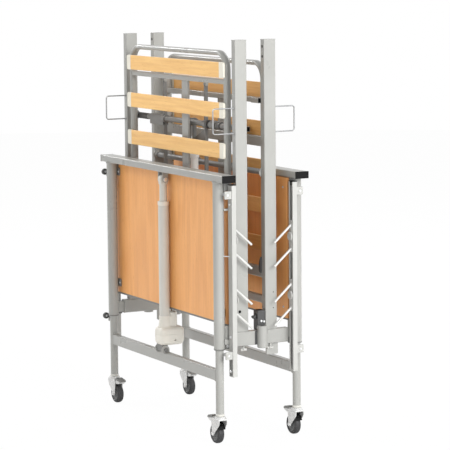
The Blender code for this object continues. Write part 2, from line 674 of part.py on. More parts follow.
def transport_bar(side_name, side):
    """The bar that joins the two end frames, with spigots for the side members, boss and clamp."""
    x = side * LEG_X
    z_span = (TRANSPORT_BAR_BOTTOM, TRANSPORT_BAR_TOP)
    bar = block(centred(x, POST_WIDTH), (-TRANSPORT_BAR_END, TRANSPORT_BAR_END), z_span)
    boss_bottom = TRANSPORT_BAR_BOTTOM - BOSS_DROP
    boss_top = boss_bottom + BOSS_HEIGHT
    weld(bar, upright(x + side * BOSS_OUTSET, BOSS_Y, (boss_bottom, boss_top), BOSS_DIAMETER))
    clamp_z = (TRANSPORT_BAR_TOP - WELD, boss_top + CLAMP_HEIGHT)
    clamp_y = centred(CLAMP_Y, CLAMP_DEPTH)
    weld(bar, block(centred(x, CLAMP_WIDTH), clamp_y, clamp_z))
    play = POST_WALL + WELD
    spigot_z = (TRANSPORT_BAR_TOP - WELD, TRANSPORT_BAR_TOP + SPIGOT_HEIGHT)
    for half_y in (FOOT_HALF_Y, HEAD_HALF_Y):
        spigot = block(centred(x, POST_WIDTH - 2 * play), centred(half_y, POST_DEPTH - 2 * play), spigot_z)
        weld(bar, spigot)
    hanger_z = (TRANSPORT_BAR_BOTTOM - HANGER_HEIGHT, TRANSPORT_BAR_BOTTOM + WELD)
    hanger_y = (HEAD_HALF_Y - HANGER_LENGTH / 2, HEAD_HALF_Y + HANGER_LENGTH / 2)
    weld(bar, block(centred(x, HANGER_THICKNESS), hanger_y, hanger_z))
    pocket_x = centred(x, POST_WIDTH - 2 * TRANSPORT_BAR_WALL)
    pocket_z = (TRANSPORT_BAR_BOTTOM + TRANSPORT_BAR_WALL, TRANSPORT_BAR_TOP - TRANSPORT_BAR_WALL)
    pocket_depth = STUB_ENGAGEMENT + SEAT
    for end in (FOOT, HEAD):
        pocket_y = (end * (TRANSPORT_BAR_END + WELD), end * (TRANSPORT_BAR_END - pocket_depth))
        cut(bar, block(pocket_x, pocket_y, pocket_z))
    knob_z = boss_top + KNOB_LEVEL
    face = clamp_y[0]
    hole_y = (face - WELD, face + KNOB_SHANK_DEPTH + SLIDE)
    cut(bar, lengthwise(x, hole_y, knob_z, KNOB_SHANK_DIAMETER + 2 * SLIDE))
    piece(bar, f"{side_name}_transport_bar", GREY_COAT)

    knob = lengthwise(x, (face - SEAT, face - SEAT - KNOB_LENGTH), knob_z, KNOB_DIAMETER)
    weld(knob, lengthwise(x, (face - SEAT - WELD, face + KNOB_SHANK_DEPTH), knob_z, KNOB_SHANK_DIAMETER))
    piece(knob, f"{side_name}_clamp_knob", BLACK_PLASTIC, (x, face, knob_z))


def side_frame(half_name, facing, half_y, shaft_z, drive_x):
    """Two side members with cross ties, shaft bearings, hinge lugs, drive shelf and wire retainers."""
    post_top = POST_BOTTOM + POST_LENGTH
    tie_y = centred(half_y - facing * TIE_SETBACK, TIE_DEPTH)
    post_inner = LEG_X - POST_WIDTH / 2
    tie_x = (-post_inner - WELD, post_inner + WELD)
    body = block(tie_x, tie_y, centred(HINGE_Z, HINGE_TIE_HEIGHT))
    shaft_y = half_y - facing * SHAFT_SETBACK
    hinge_y = half_y + facing * SECTION_OFFSET
    lug_outer = SECTION_X - SECTION_TUBE / 2 - WELD
    lug_y = (half_y - facing * TIE_SETBACK, hinge_y + facing * HINGE_PIN)
    face = half_y + facing * POST_DEPTH / 2
    loop_z = centred(POST_BOTTOM + LOOP_LEVEL, LOOP_HEIGHT)
    for side in (LEFT, RIGHT):
        x = side * LEG_X
        post_y = centred(half_y, POST_DEPTH)
        weld(body, block(centred(x, POST_WIDTH), post_y, (POST_BOTTOM, post_top)))
        bearing_x = (side * (post_inner + WELD), side * (post_inner - BEARING_WIDTH))
        weld(body, block(bearing_x, centred(shaft_y, BEARING_SIZE), centred(shaft_z, BEARING_SIZE)))
        lug_x = (side * lug_outer, side * (lug_outer - HINGE_LUG))
        weld(body, block(lug_x, lug_y, centred(HINGE_Z, HINGE_LUG_HEIGHT)))
        start = (x, face - facing * WELD, loop_z[1])
        end = (x, face - facing * WELD, loop_z[0])
        loop = rounded_u(start, end, (0.0, facing * (LOOP_REACH + WELD), 0.0), LOOP_CORNER, 3)
        weld(body, bent_tube(loop, LOOP_WIRE))
        hollow_z = (POST_BOTTOM - WELD, post_top - POST_WALL)
        hollow_x = centred(x, POST_WIDTH - 2 * POST_WALL)
        cut(body, block(hollow_x, centred(half_y, POST_DEPTH - 2 * POST_WALL), hollow_z))
        bore_x = (side * post_inner, side * (post_inner - BEARING_WIDTH - WELD))
        cut(body, crosswise(bore_x, shaft_y, shaft_z, SHAFT_DIAMETER + 2 * SLIDE, ROUND_SIDES))
        hole_x = (side * (lug_outer + WELD), side * (lug_outer - HINGE_LUG - WELD))
        cut(body, crosswise(hole_x, hinge_y, HINGE_Z, HINGE_PIN + 2 * SLIDE))
    weld(body, block(tie_x, tie_y, centred(POST_BOTTOM + LOWER_TIE_LEVEL, LOWER_TIE_HEIGHT)))
    shelf_y = (half_y - facing * TIE_SETBACK, shaft_y - facing * (LEVER_LENGTH + SECTION_GEARBOX_ROUNDING))
    shelf_z = (DRIVE_SHELF_Z - 2 * DRIVE_SHELF_LIFT, DRIVE_SHELF_Z)
    shelf_width = SECTION_GEARBOX_WIDTH - 2 * SECTION_GEARBOX_ROUNDING
    weld(body, block(centred(drive_x, shelf_width), shelf_y, shelf_z))
    piece(body, f"{half_name}_side_frame", GREY_COAT, (0.0, half_y, POST_BOTTOM))


def section_frame(name, facing, half_y, length, bars):
    """A flat-oval bent tube that hinges on the side frame, with cross bars, spine and hinge pins."""
    y = half_y + facing * SECTION_OFFSET
    low = HINGE_Z - SECTION_TUBE / 2
    start = (-SECTION_X, y, low)
    end = (SECTION_X, y, low)
    reach = (0.0, 0.0, length - SECTION_TUBE / 2 + HINGE_Z - low)
    body = bent_tube(rounded_u(start, end, reach, SECTION_CORNER), SECTION_TUBE)
    flatten = Matrix.Diagonal((1.0, SECTION_TUBE_DEPTH / SECTION_TUBE, 1.0, 1.0))
    body.data.transform(Matrix.Translation((0.0, y, 0.0)) @ flatten @ Matrix.Translation((0.0, -y, 0.0)))
    span = (-SECTION_X, SECTION_X)
    top_bar_z = HINGE_Z + bars[0][0]
    for level, height in ((SECTION_LOWER_BAR_LEVEL, SECTION_BAR), *bars):
        weld(body, block(span, centred(y, SECTION_BAR), centred(HINGE_Z + level, height)))
    spine_z = (HINGE_Z + SECTION_LOWER_BAR_LEVEL, top_bar_z)
    weld(body, block(centred(SPINE_X, SPINE_WIDTH), centred(y, SPINE_THICKNESS), spine_z))
    pin_inner = SECTION_X - SECTION_TUBE / 2 - WELD - HINGE_LUG - PIVOT_PLAY
    for side in (LEFT, RIGHT):
        pin_x = (side * SECTION_X, side * pin_inner)
        weld(body, crosswise(pin_x, y, HINGE_Z, HINGE_PIN))
    piece(body, name, GREY_COAT, (0.0, y, HINGE_Z))


def slats(half_name, facing, half_y, top_level, pitch):
    """The wooden slats of one section, lying on its tubes."""
    back = half_y + facing * (SECTION_OFFSET + SECTION_TUBE_DEPTH / 2 + SEAT)
    for number in range(1, SLAT_COUNT + 1):
        z = HINGE_Z + top_level - (number - 1) * pitch
        y_span = (back, back + facing * SLAT_THICKNESS)
        slat = block(centred(0.0, SLAT_LENGTH), y_span, centred(z, SLAT_HEIGHT))
        piece(slat, f"{half_name}_slat_{number}", SLAT_WOOD, (0.0, back, z))


def section_drive(half_name, facing, half_y, shaft_z, drive_x, arm_length, arm_tail):
    """Lifting shaft with arms and lever, the drive that stands on the hinge tie, and its push rod."""
    outward = 1 if drive_x > 0 else -1
    shaft_y = half_y - facing * SHAFT_SETBACK
    rod_y = shaft_y - facing * LEVER_LENGTH
    shaft_reach = LEG_X - POST_WIDTH / 2 - SEAT
    shaft = crosswise((-shaft_reach, shaft_reach), shaft_y, shaft_z, SHAFT_DIAMETER, ROUND_SIDES)
    arm_z = (shaft_z - arm_tail, shaft_z + arm_length)
    for side in (LEFT, RIGHT):
        arm_x = centred(side * ARM_X, ARM_THICKNESS)
        weld(shaft, block(arm_x, centred(shaft_y, ARM_WIDTH), arm_z))
    lever_near = drive_x + outward * (PUSH_ROD_DIAMETER / 2 + PIVOT_PLAY)
    lever_far = lever_near + outward * LEVER_THICKNESS
    lever_y = (shaft_y, rod_y - facing * LEVER_PIN)
    weld(shaft, block((lever_near, lever_far), lever_y, centred(shaft_z, 2 * LEVER_PIN)))
    pin_end = drive_x - outward * (PUSH_ROD_EYE_WIDTH / 2 + PIVOT_PLAY)
    weld(shaft, crosswise((lever_near + outward * WELD, pin_end), rod_y, shaft_z, LEVER_PIN))
    piece(shaft, f"{half_name}_lift_shaft", GREY_COAT, (0.0, shaft_y, shaft_z))

    floor = DRIVE_SHELF_Z + SEAT
    gearbox_top = floor + SECTION_GEARBOX_HEIGHT
    gearbox_y = centred(rod_y, SECTION_GEARBOX_DEPTH)
    drive = block(centred(drive_x, SECTION_GEARBOX_WIDTH), gearbox_y, (floor, gearbox_top))
    round_edges(drive, SECTION_GEARBOX_ROUNDING)
    motor_x = drive_x + outward * SECTION_GEARBOX_WIDTH / 2
    motor_z = (floor + SECTION_GEARBOX_ROUNDING, floor + SECTION_GEARBOX_ROUNDING + SECTION_MOTOR_LENGTH)
    weld(drive, upright(motor_x, rod_y, motor_z, SECTION_MOTOR_DIAMETER))
    tube_top = shaft_z - DRIVE_GUIDE_GAP
    weld(drive, upright(drive_x, rod_y, (gearbox_top - WELD, tube_top), DRIVE_GUIDE_DIAMETER))
    bore_bottom = tube_top - PUSH_ROD_ENGAGEMENT - PIVOT_PLAY
    rod_bore = PUSH_ROD_DIAMETER + 2 * SLIDE
    cut(drive, upright(drive_x, rod_y, (bore_bottom, tube_top + WELD), rod_bore))
    piece(drive, f"{half_name}_section_drive", CREAM_PLASTIC, (drive_x, rod_y, floor))

    push_rod = upright(drive_x, rod_y, (tube_top - PUSH_ROD_ENGAGEMENT, shaft_z), PUSH_ROD_DIAMETER)
    eye_x = centred(drive_x, PUSH_ROD_EYE_WIDTH)
    weld(push_rod, crosswise(eye_x, rod_y, shaft_z, PUSH_ROD_EYE, ROUND_SIDES))
    hole_x = centred(drive_x, PUSH_ROD_DIAMETER + 2 * WELD)
    cut(push_rod, crosswise(hole_x, rod_y, shaft_z, LEVER_PIN + 2 * PIVOT_PLAY))
    piece(push_rod, f"{half_name}_push_rod", PALE_TUBE, (drive_x, rod_y, tube_top))


def end_frames():
    """Both lifting end frames with their castors, rails and sliders."""
    for end_name, end in ENDS.items():
        leg_frame(end_name, end)
        lift_frame(end_name, end)
        end_panel(end_name, end)
        lift_drive(end_name, end)
        for side_name, side in SIDES.items():
            corner = f"{end_name}_{side_name}"
            castor(corner, side * LEG_X, end * LEG_Y, -side)
            guide_rail(corner, side, end)
            for place, level in SLIDER_LEVELS.items():
                rail_slider(f"{corner}_{place}_slider", side, end, level)


def lying_surface():
    """The two halves of the lying surface, standing on the transport bars back to back."""
    foot_shaft_z = HINGE_Z + FOOT_SHAFT_LEVEL
    side_frame("foot", FOOT, FOOT_HALF_Y, foot_shaft_z, FOOT_DRIVE_X)
    section_frame("leg_section_frame", FOOT, FOOT_HALF_Y, FOOT_SECTION_LENGTH, FOOT_SECTION_BARS)
    slats("foot", FOOT, FOOT_HALF_Y, FOOT_SLAT_TOP, FOOT_SLAT_PITCH)
    section_drive("foot", FOOT, FOOT_HALF_Y, foot_shaft_z, FOOT_DRIVE_X, FOOT_ARM_LENGTH, ARM_TAIL)
    head_shaft_z = HINGE_Z + HEAD_SHAFT_LEVEL
    side_frame("head", HEAD, HEAD_HALF_Y, head_shaft_z, HEAD_DRIVE_X)
    section_frame("backrest_frame", HEAD, HEAD_HALF_Y, HEAD_SECTION_LENGTH, HEAD_SECTION_BARS)
    slats("head", HEAD, HEAD_HALF_Y, HEAD_SLAT_TOP, HEAD_SLAT_PITCH)
    section_drive("head", HEAD, HEAD_HALF_Y, head_shaft_z, HEAD_DRIVE_X, HEAD_ARM_LENGTH, WELD)


end_frames()
for transport_side_name, transport_side in SIDES.items():
    transport_bar(transport_side_name, transport_side)
lying_surface()
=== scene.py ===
"""Looks of the care bed that is parked upright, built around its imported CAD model.

Metres, +Z up. X runs across the bed and Y from the foot end (-Y) to the head end (+Y).
What repeats is modelled once, at the foot end on the right, and copied from there.
"""

from math import cos, hypot, pi, radians, sin

import bpy
from mathutils import Matrix, Vector


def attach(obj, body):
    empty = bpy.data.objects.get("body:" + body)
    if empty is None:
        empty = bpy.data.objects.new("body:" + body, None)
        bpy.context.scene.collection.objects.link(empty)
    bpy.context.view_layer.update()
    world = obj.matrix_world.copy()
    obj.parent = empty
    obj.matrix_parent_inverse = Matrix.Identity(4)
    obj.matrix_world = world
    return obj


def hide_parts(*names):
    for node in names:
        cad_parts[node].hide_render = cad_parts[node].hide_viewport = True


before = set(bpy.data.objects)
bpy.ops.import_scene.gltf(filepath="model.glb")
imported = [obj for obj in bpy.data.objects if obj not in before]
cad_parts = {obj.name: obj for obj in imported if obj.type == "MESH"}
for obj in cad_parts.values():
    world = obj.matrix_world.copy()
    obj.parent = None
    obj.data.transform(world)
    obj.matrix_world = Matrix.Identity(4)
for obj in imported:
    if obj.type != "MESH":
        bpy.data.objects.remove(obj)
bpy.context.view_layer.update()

# Ends and sides of the bed
LEFT, RIGHT = -1, 1
FOOT, HEAD = -1, 1
SIDES = {"left": LEFT, "right": RIGHT}
ENDS = {"foot": FOOT, "head": HEAD}
ACROSS = Vector((1.0, 0.0, 0.0))
ALONG = Vector((0.0, 1.0, 0.0))
UP = Vector((0.0, 0.0, 1.0))

# End frames with their boards, lifting drives and castors
LEG_X = 0.450
LEG_Y = 0.160
LEG_BOTTOM, LEG_TOP = 0.104, 0.931
SLEEVE_BOTTOM = 0.351
TOP_BAR_X = 0.513
TOP_BAR_Y = (-0.177, -0.123)
TOP_BAR_Z = (0.958, 0.984)
BOARD_X = 0.461
BOARD_Y = (-0.1345, -0.1185)
BOARD_Z = (0.440, 0.9577)
CLIP_LEVELS = (0.480, 0.9215)
PIN_Y, PIN_Z = 0.169, 0.2830
ROD_Y, ROD_PIN_Z = 0.157, 0.929
AXLE_TRAIL, AXLE_Z = 0.024, 0.0375
HUB_RADIUS = 0.0262

# Guide rails and transport bars; each rail bracket has its level and half its height
RAIL_X = 0.490
RAIL_BOTTOM, RAIL_LENGTH = 0.252, 0.695
RAIL_BRACKETS = ((0.378, 0.010), (0.858, 0.004))
RAIL_BLOCK_LEVELS = (0.332, 0.913)
RAIL_SCREW_LEVELS = (0.878, 0.398, 0.272)
# Seats of the dark knob shapes at the foot's left rail, which are painted shade of the fixing blocks there
SHADE_KNOB_SEATS = ((-0.4980, -0.1745, 0.3420), (-0.4980, -0.1710, 0.9180))
SLIDER_LEVELS = {"lower": 0.5315, "upper": 0.748}
SLIDER_HALF = 0.0595
TRANSPORT_BAR_Z = (0.355, 0.408)

# Halves of the lying surface
HALF_Y = {"foot": -0.071, "head": 0.0475}
POST_BOTTOM, POST_TOP = 0.4083, 1.4633
POST_HALF = (0.0135, 0.024)
POST_INNER_X = 0.4370
LOOP_TOP, LOOP_BOTTOM = 1.2190, 1.1280
LOOP_CORNER, LOOP_REACH = 0.0085, 0.0835
HINGE_Z = 0.6153
HINGE_COVER = (
    (0.4368, 0.673), (0.4300, 0.668), (0.4235, 0.652), (0.4205, 0.634), (0.4220, 0.619),
    (0.4260, 0.614), (0.4368, 0.613),
)

# Sections; a bar has its level and half its height, and SPINE lists its strips by left, right,
# back, front, rounding and the steps of that
SECTION_X = 0.3895
SECTION_OFFSET = 0.0165
SECTION_BEND = 0.060
SECTIONS = {
    "foot": {
        "node": "leg_section_frame",
        "top": 1.4138,
        "bars": ((1.3103, 0.009), (0.6653, 0.010)),
        "spine_foot": 0.6653,
        "slat_top": 1.3533,
        "slat_pitch": 0.146,
    },
    "head": {
        "node": "backrest_frame",
        "top": 1.3733,
        "bars": ((1.2383, 0.010), (1.0883, 0.0185)),
        "spine_foot": 0.6800,
        "slat_top": 1.2738,
        "slat_pitch": 0.1417,
    },
}
SPINE = (
    (0.0310, 0.0670, -0.0025, 0.0025, 0.0010, 2),
    (0.0650, 0.0790, -0.0025, -0.0005, 0.0003, 1),
    (0.0760, 0.0830, -0.0045, 0.0045, 0.0010, 2),
)
SLAT_X = 0.394
SLAT_HALF_HEIGHT = 0.028
SLAT_SEAT, SLAT_THICKNESS = 0.0308, 0.008

# Lifting shafts and drives of the sections
SHAFT_OFFSET = 0.011
SHAFT_Z = {"foot": 1.1438, "head": 0.9803}
ARM_REACH = {"foot": 0.155, "head": 0.115}
ARM_TAIL = {"foot": 0.215, "head": 0.014}
LEVER_LENGTH = 0.030
DRIVE_X = {"foot": 0.014, "head": -0.072}
DRIVE_BOTTOM, DRIVE_TOP = 0.6376, 0.7276

# How meshes are worked
STRAIGHT = 0.99
SHARP_ANGLE = radians(50.0)
SMOOTH_ANGLE = radians(38.0)
MERGE_DISTANCE = 0.000005
PLATE_EDGE = 0.001

# Light and camera, fitted to a square picture
WHITE = (1.0, 1.0, 1.0, 1.0)
FLOOR_TONE = (0.97, 0.97, 0.97, 1.0)
FLOOR_GLOW = 0.97
SURROUND_STRENGTH = 0.50
RAY_KINDS = ("Is Camera Ray", "Is Glossy Ray", "Is Transmission Ray")
LAMP_AIM = Vector((0.0, 0.0, 0.75))
LAMPS = (
    ("key_lamp", (6.8, 0.6, 3.3), 4.2, 455.0),
    ("fill_lamp", (-5.2, -4.4, 4.8), 2.6, 178.0),
    ("back_lamp", (-2.5, 5.5, 4.5), 4.0, 140.0),
    ("edge_lamp", (-6.2, -0.95, 4.15), 1.0, 85.0),
)
IMAGE_PIXELS = 450
SENSOR_WIDTH = 36.0
CAMERA_TURN = (62.72, 6.70, -0.577)
CAMERA_DISTANCE = 8.372
CAMERA_TARGET_Z = 0.784875
CAMERA_FOCUS_PIXELS = 2200.7
CAMERA_CENTRE = (200.455, 214.6)


class Wire:
    """A shader socket in Python expressions: each operation on values adds its Math node."""

    def __init__(self, tree, socket=None):
        self.tree = tree
        self.socket = socket

    def node(self, kind, settings=None, inputs=None, output=0):
        """Add a node: its settings first, then its sockets by value or link. Gives one output."""
        added = self.tree.nodes.new(kind)
        for name, value in (settings or {}).items():
            setattr(added, name, value)
        for key, value in (inputs or {}).items():
            if isinstance(value, Wire):
                self.tree.links.new(value.socket, added.inputs[key])
            else:
                added.inputs[key].default_value = value
        return Wire(self.tree, added.outputs[output])

    def reckon(self, operation, first, second):
        """One Math node."""
        return self.node("ShaderNodeMath", {"operation": operation}, {0: first, 1: second})

    def __add__(self, other):
        return self.reckon("ADD", self, other)

    def __radd__(self, other):
        return self.reckon("ADD", other, self)

    def __sub__(self, other):
        return self.reckon("SUBTRACT", self, other)

    def __rsub__(self, other):
        return self.reckon("SUBTRACT", other, self)

    def __mul__(self, other):
        return self.reckon("MULTIPLY", self, other)

    def __rmul__(self, other):
        return self.reckon("MULTIPLY", other, self)


def colour(red, green, blue):
    """A linear colour from screen values of 0 to 255."""
    return (*(((value / 255) ** 2.2) for value in (red, green, blue)), 1.0)


def tinted(base, factors):
    """A colour with each of its parts made stronger or weaker."""
    return (*(min(1.0, part * factor) for part, factor in zip(base, factors)), 1.0)


def shade(base, factor):
    """A colour made lighter or darker."""
    return tinted(base, (factor, factor, factor))


def mixed(factor, first, second):
    """Two colours mixed by a factor; at least one of the three is a link."""
    link = next(part for part in (factor, first, second) if isinstance(part, Wire))
    return link.node("ShaderNodeMix", {"data_type": "RGBA"}, {0: factor, 6: first, 7: second}, 2)


def stretched(place, stretch):
    """Coordinates drawn out or squeezed along the axes, for grain and brush lines."""
    return place.node("ShaderNodeMapping", None, {"Vector": place, "Scale": stretch})


def noise(place, scale, detail=2.0, roughness=0.5):
    """Soft mottling, about 0.5 on average."""
    inputs = {"Vector": place, "Scale": scale, "Detail": detail, "Roughness": roughness}
    return place.node("ShaderNodeTexNoise", None, inputs)


def span(value, low, high, to_low=0.0, to_high=1.0):
    """A value carried from one range to another, held at its ends."""
    inputs = {"Value": value, "From Min": low, "From Max": high, "To Min": to_low, "To Max": to_high}
    return value.node("ShaderNodeMapRange", None, inputs)


class Finish:
    """A Principled material under construction, with the object's own coordinates at hand."""

    def __init__(self, name, **constants):
        self.material = bpy.data.materials.new(name)
        self.material.use_nodes = True
        self.tree = self.material.node_tree
        self.shader = self.tree.nodes["Principled BSDF"]
        self.place = Wire(self.tree).node("ShaderNodeTexCoord", output="Object")
        for socket, value in constants.items():
            self.shader.inputs[socket.replace("_", " ")].default_value = value

    def feed(self, **wires):
        """Link what changes over the surface to the shader's sockets."""
        for socket, wire in wires.items():
            self.tree.links.new(wire.socket, self.shader.inputs[socket.replace("_", " ")])

    def emboss(self, height, strength, depth):
        """Raise the surface a little by a height that changes over it."""
        inputs = {"Height": height, "Strength": strength, "Distance": depth}
        self.feed(Normal=height.node("ShaderNodeBump", None, inputs))


def powder_coat(name, base, roughness, gloss=0.5):
    """Satin powder coat: fine orange peel, faint clouding and a few rubbed places."""
    coat = Finish(name, Specular_IOR_Level=gloss)
    peel = noise(coat.place, 900.0, 2.0)
    cloud = noise(coat.place, 7.0, 4.0)
    rub = span(noise(stretched(coat.place, (1.0, 1.0, 0.35)), 46.0, 5.0, 0.62), 0.60, 0.74)
    tone = mixed(span(cloud, 0.3, 0.7), shade(base, 0.965), shade(base, 1.03))
    coat.feed(Base_Color=mixed(rub * 0.35, tone, shade(base, 1.16)))
    coat.feed(Roughness=span(cloud, 0.3, 0.7, roughness - 0.05, roughness + 0.05) + rub * 0.08)
    coat.emboss(peel, 0.10, 0.0003)
    return coat.material


def moulded(name, base, roughness, gloss=0.5):
    """Moulded plastic: a fine spark-eroded grain, slight flow marks and handling gloss."""
    plastic = Finish(name, Specular_IOR_Level=gloss)
    pit = noise(plastic.place, 700.0, 3.0)
    flow = noise(stretched(plastic.place, (1.0, 1.0, 0.5)), 18.0, 3.0)
    plastic.feed(Base_Color=mixed(span(flow, 0.32, 0.68), shade(base, 0.95), shade(base, 1.03)))
    plastic.feed(Roughness=span(flow, 0.3, 0.7, roughness - 0.06, roughness + 0.06))
    plastic.emboss(pit, 0.14, 0.0002)
    return plastic.material


def drawn_metal(name, base, roughness, stretch, metallic=1.0):
    """Plated or polished metal with fine lines along one axis and faint cloudy spots."""
    metal = Finish(name, Metallic=metallic)
    lines = noise(stretched(metal.place, stretch), 90.0, 4.0)
    spangle = noise(metal.place, 130.0, 2.0)
    metal.feed(Base_Color=mixed(span(spangle, 0.35, 0.65), shade(base, 0.90), shade(base, 1.06)))
    metal.feed(Roughness=span(lines, 0.3, 0.7, roughness - 0.07, roughness + 0.08))
    metal.emboss(lines, 0.05, 0.0002)
    return metal.material


def beech(name, base, grain_axis, rings, streaks, figure):
    """Beech: slow growth rings that swing along the board, streaks, and short dark pore flecks."""
    wood = Finish(name)

    def grain(squeeze):
        """Coordinates drawn out along the grain."""
        return stretched(wood.place, [squeeze if axis == grain_axis else 1.0 for axis in range(3)])

    swing = noise(grain(0.16), 5.0, 2.0)
    ring = noise(grain(0.16), rings, 3.0, 0.45)
    wave = ring * 46.0 + swing * 9.0
    bands = wave.node("ShaderNodeMath", {"operation": "SINE"}, {0: wave})
    streak = noise(grain(0.035), streaks, 4.0, 0.6)
    fleck = span(noise(grain(0.11), 330.0, 2.0), 0.63, 0.72)
    pale = tinted(base, (1.07, 1.12, 1.17))
    deep = tinted(base, (0.93, 0.89, 0.85))
    warm = mixed(span(bands, -1.0, 1.0), deep, pale)
    drawn = mixed(span(streak, 0.36, 0.64), deep, pale)
    body = mixed(figure, drawn, warm)
    wood.feed(Base_Color=mixed(fleck * 0.45, body, tinted(base, (0.74, 0.66, 0.58))))
    wood.feed(Roughness=span(streak, 0.3, 0.7, 0.36, 0.47) + fleck * 0.10)
    wood.emboss(streak * 0.7 - fleck * 0.6, 0.10, 0.0003)
    return wood.material


def rubber(name, base):
    """Castor tyre: matt, finely pitted, a little dusty on the tread."""
    tyre = Finish(name)
    dust = span(noise(tyre.place, 60.0, 5.0, 0.6), 0.45, 0.75)
    tyre.feed(Base_Color=mixed(dust * 0.5, base, shade(base, 1.9)))
    tyre.feed(Roughness=span(dust, 0.0, 1.0, 0.58, 0.80))
    tyre.emboss(noise(tyre.place, 420.0, 3.0), 0.25, 0.0003)
    return tyre.material


FINISHES = {
    "grey_coat": powder_coat("grey_powder_coat", colour(162, 162, 158), 0.31),
    # A dark grey coat: the own colour of dark parts such as the motor cans and clamp wings, and painted
    # shade on the dark knob shapes at the foot's left rail, the plate beside a transport bar's boss and
    # the shaft block's end.
    "dark_coat_and_shade": powder_coat("dark_grey_coat_and_painted_shade", colour(80, 80, 80), 0.46, 0.3),
    # A darker copy of the grey coat: painted shade on grey-coated parts that sit in shadow inside the bed,
    # such as the drive knuckles, the turning shafts and the rail slots; the pedal treads are this grey of
    # their own.
    "mid_coat_and_shade": powder_coat("mid_grey_coat_and_painted_shade", colour(118, 118, 116), 0.42),
    "pale_tube": powder_coat("pale_tube_coat", colour(206, 205, 198), 0.36),
    "beech_board": beech("beech_board", colour(236, 167, 100), 2, 5.5, 115.0, 0.42),
    "board_edge": beech("beech_edge_band", colour(196, 134, 82), 2, 8.0, 70.0, 0.4),
    "slat_wood": beech("slat_beech", colour(247, 195, 121), 0, 9.0, 105.0, 0.25),
    # The slats' inner faces: a deeper, more orange beech, partly the rawer back of the slats and partly
    # painted shade on the side that faces into the bed.
    "slat_back_and_shade": beech("slat_underside_and_painted_shade", colour(242, 186, 113), 0, 9.0, 105.0, 0.25),
    "cream_plastic": moulded("cream_plastic", colour(227, 224, 214), 0.40),
    "cap_white": moulded("slat_cap_plastic", colour(240, 235, 220), 0.38),
    # A whiter copy of the cream plastic for the drive guide tubes: painted light where they sit in shade.
    "guide_white_painted_light": moulded("guide_tube_painted_light", colour(250, 250, 246), 0.38),
    # A lighter copy of the white plastic for the slider pegs: painted light for their bright, lit look.
    "peg_white_painted_light": moulded("peg_plastic_painted_light", colour(206, 206, 203), 0.30),
    "white_plastic": moulded("white_plastic", colour(184, 184, 180), 0.34),
    "grey_plastic": moulded("grey_hub_plastic", colour(88, 89, 89), 0.48),
    "black_plastic": moulded("black_plastic", colour(22, 22, 22), 0.50, 0.15),
    "tyre": rubber("castor_tyre", colour(50, 50, 51)),
    "zinc": drawn_metal("zinc_plate", colour(222, 223, 224), 0.34, (1.0, 1.0, 0.2), 0.85),
    "castor_zinc": drawn_metal("castor_zinc", colour(210, 210, 209), 0.45, (1.0, 1.0, 0.2), 0.35),
    "bright_wire": drawn_metal("bright_wire", colour(160, 161, 162), 0.36, (1.0, 0.15, 1.0), 0.7),
}
SLOTS = {
    "dark_coat_and_shade": "grey_coat",
    "mid_coat_and_shade": "grey_coat",
    "guide_white_painted_light": "cream_plastic",
    "slat_back_and_shade": "slat_wood",
    "peg_white_painted_light": "white_plastic",
    "board_edge": "beech_board",
    "cap_white": "cream_plastic",
    "grey_plastic": "tyre",
    "castor_zinc": "zinc",
    "bright_wire": "zinc",
}


def pick_only(*things):
    """Select these objects and nothing else; the first is the active one."""
    bpy.ops.object.select_all(action="DESELECT")
    for thing in things:
        thing.select_set(True)
    bpy.context.view_layer.objects.active = things[0]


def settle():
    """Put the active object's place, turn and size into its mesh."""
    bpy.ops.object.transform_apply(location=True, rotation=True, scale=True)
    return bpy.context.object


def enter_edit():
    """Go into edit mode on the active object with its mesh selected all over."""
    bpy.ops.object.mode_set(mode="EDIT")
    bpy.ops.mesh.select_all(action="SELECT")


def leave_edit():
    """Go back to object mode."""
    bpy.ops.object.mode_set(mode="OBJECT")


def extrude(move):
    """Draw out what is selected."""
    bpy.ops.mesh.extrude_region_move(TRANSFORM_OT_translate={"value": move})


def pick_parts(thing, kind, test):
    """Go into edit mode with only those edges or faces selected that pass a test."""
    pick_only(thing)
    bpy.ops.object.mode_set(mode="EDIT")
    bpy.ops.mesh.select_mode(type=kind)
    bpy.ops.mesh.select_all(action="DESELECT")
    leave_edit()
    for part in thing.data.edges if kind == "EDGE" else thing.data.polygons:
        part.select = test(part)
    bpy.ops.object.mode_set(mode="EDIT")


def pick_edges(thing, axis):
    """Go into edit mode with only those edges selected that run along an axis."""

    def runs_along(edge):
        """Tell whether an edge lies along the axis."""
        first, second = (thing.data.vertices[index].co for index in edge.vertices)
        return abs((second - first).normalized().dot(axis)) > STRAIGHT

    pick_parts(thing, "EDGE", runs_along)


def sink_face(thing, direction, rim, depth):
    """Push the face on one side inwards and leave a rim around it."""
    pick_parts(thing, "FACE", lambda face: face.normal.dot(direction) > STRAIGHT)
    bpy.ops.mesh.inset(thickness=rim)
    extrude(direction * -depth)
    leave_edit()


def face_outwards(thing):
    """Close doubled points and turn every face outwards."""
    pick_only(thing)
    enter_edit()
    bpy.ops.mesh.remove_doubles(threshold=MERGE_DISTANCE)
    bpy.ops.mesh.normals_make_consistent(inside=False)
    leave_edit()
    return thing


def apply_modifier(thing, kind, **settings):
    """Add a modifier with its settings and apply it."""
    pick_only(thing)
    bpy.ops.object.modifier_add(type=kind)
    modifier = thing.modifiers[-1]
    for setting, value in settings.items():
        setattr(modifier, setting, value)
    bpy.ops.object.modifier_apply(modifier=modifier.name)
    return thing


def break_edges(thing, width, steps=2):
    """Round off the sharp edges and leave bends of small steps alone."""
    limits = {"limit_method": "ANGLE", "angle_limit": SHARP_ANGLE}
    return apply_modifier(thing, "BEVEL", width=width, segments=steps, **limits)


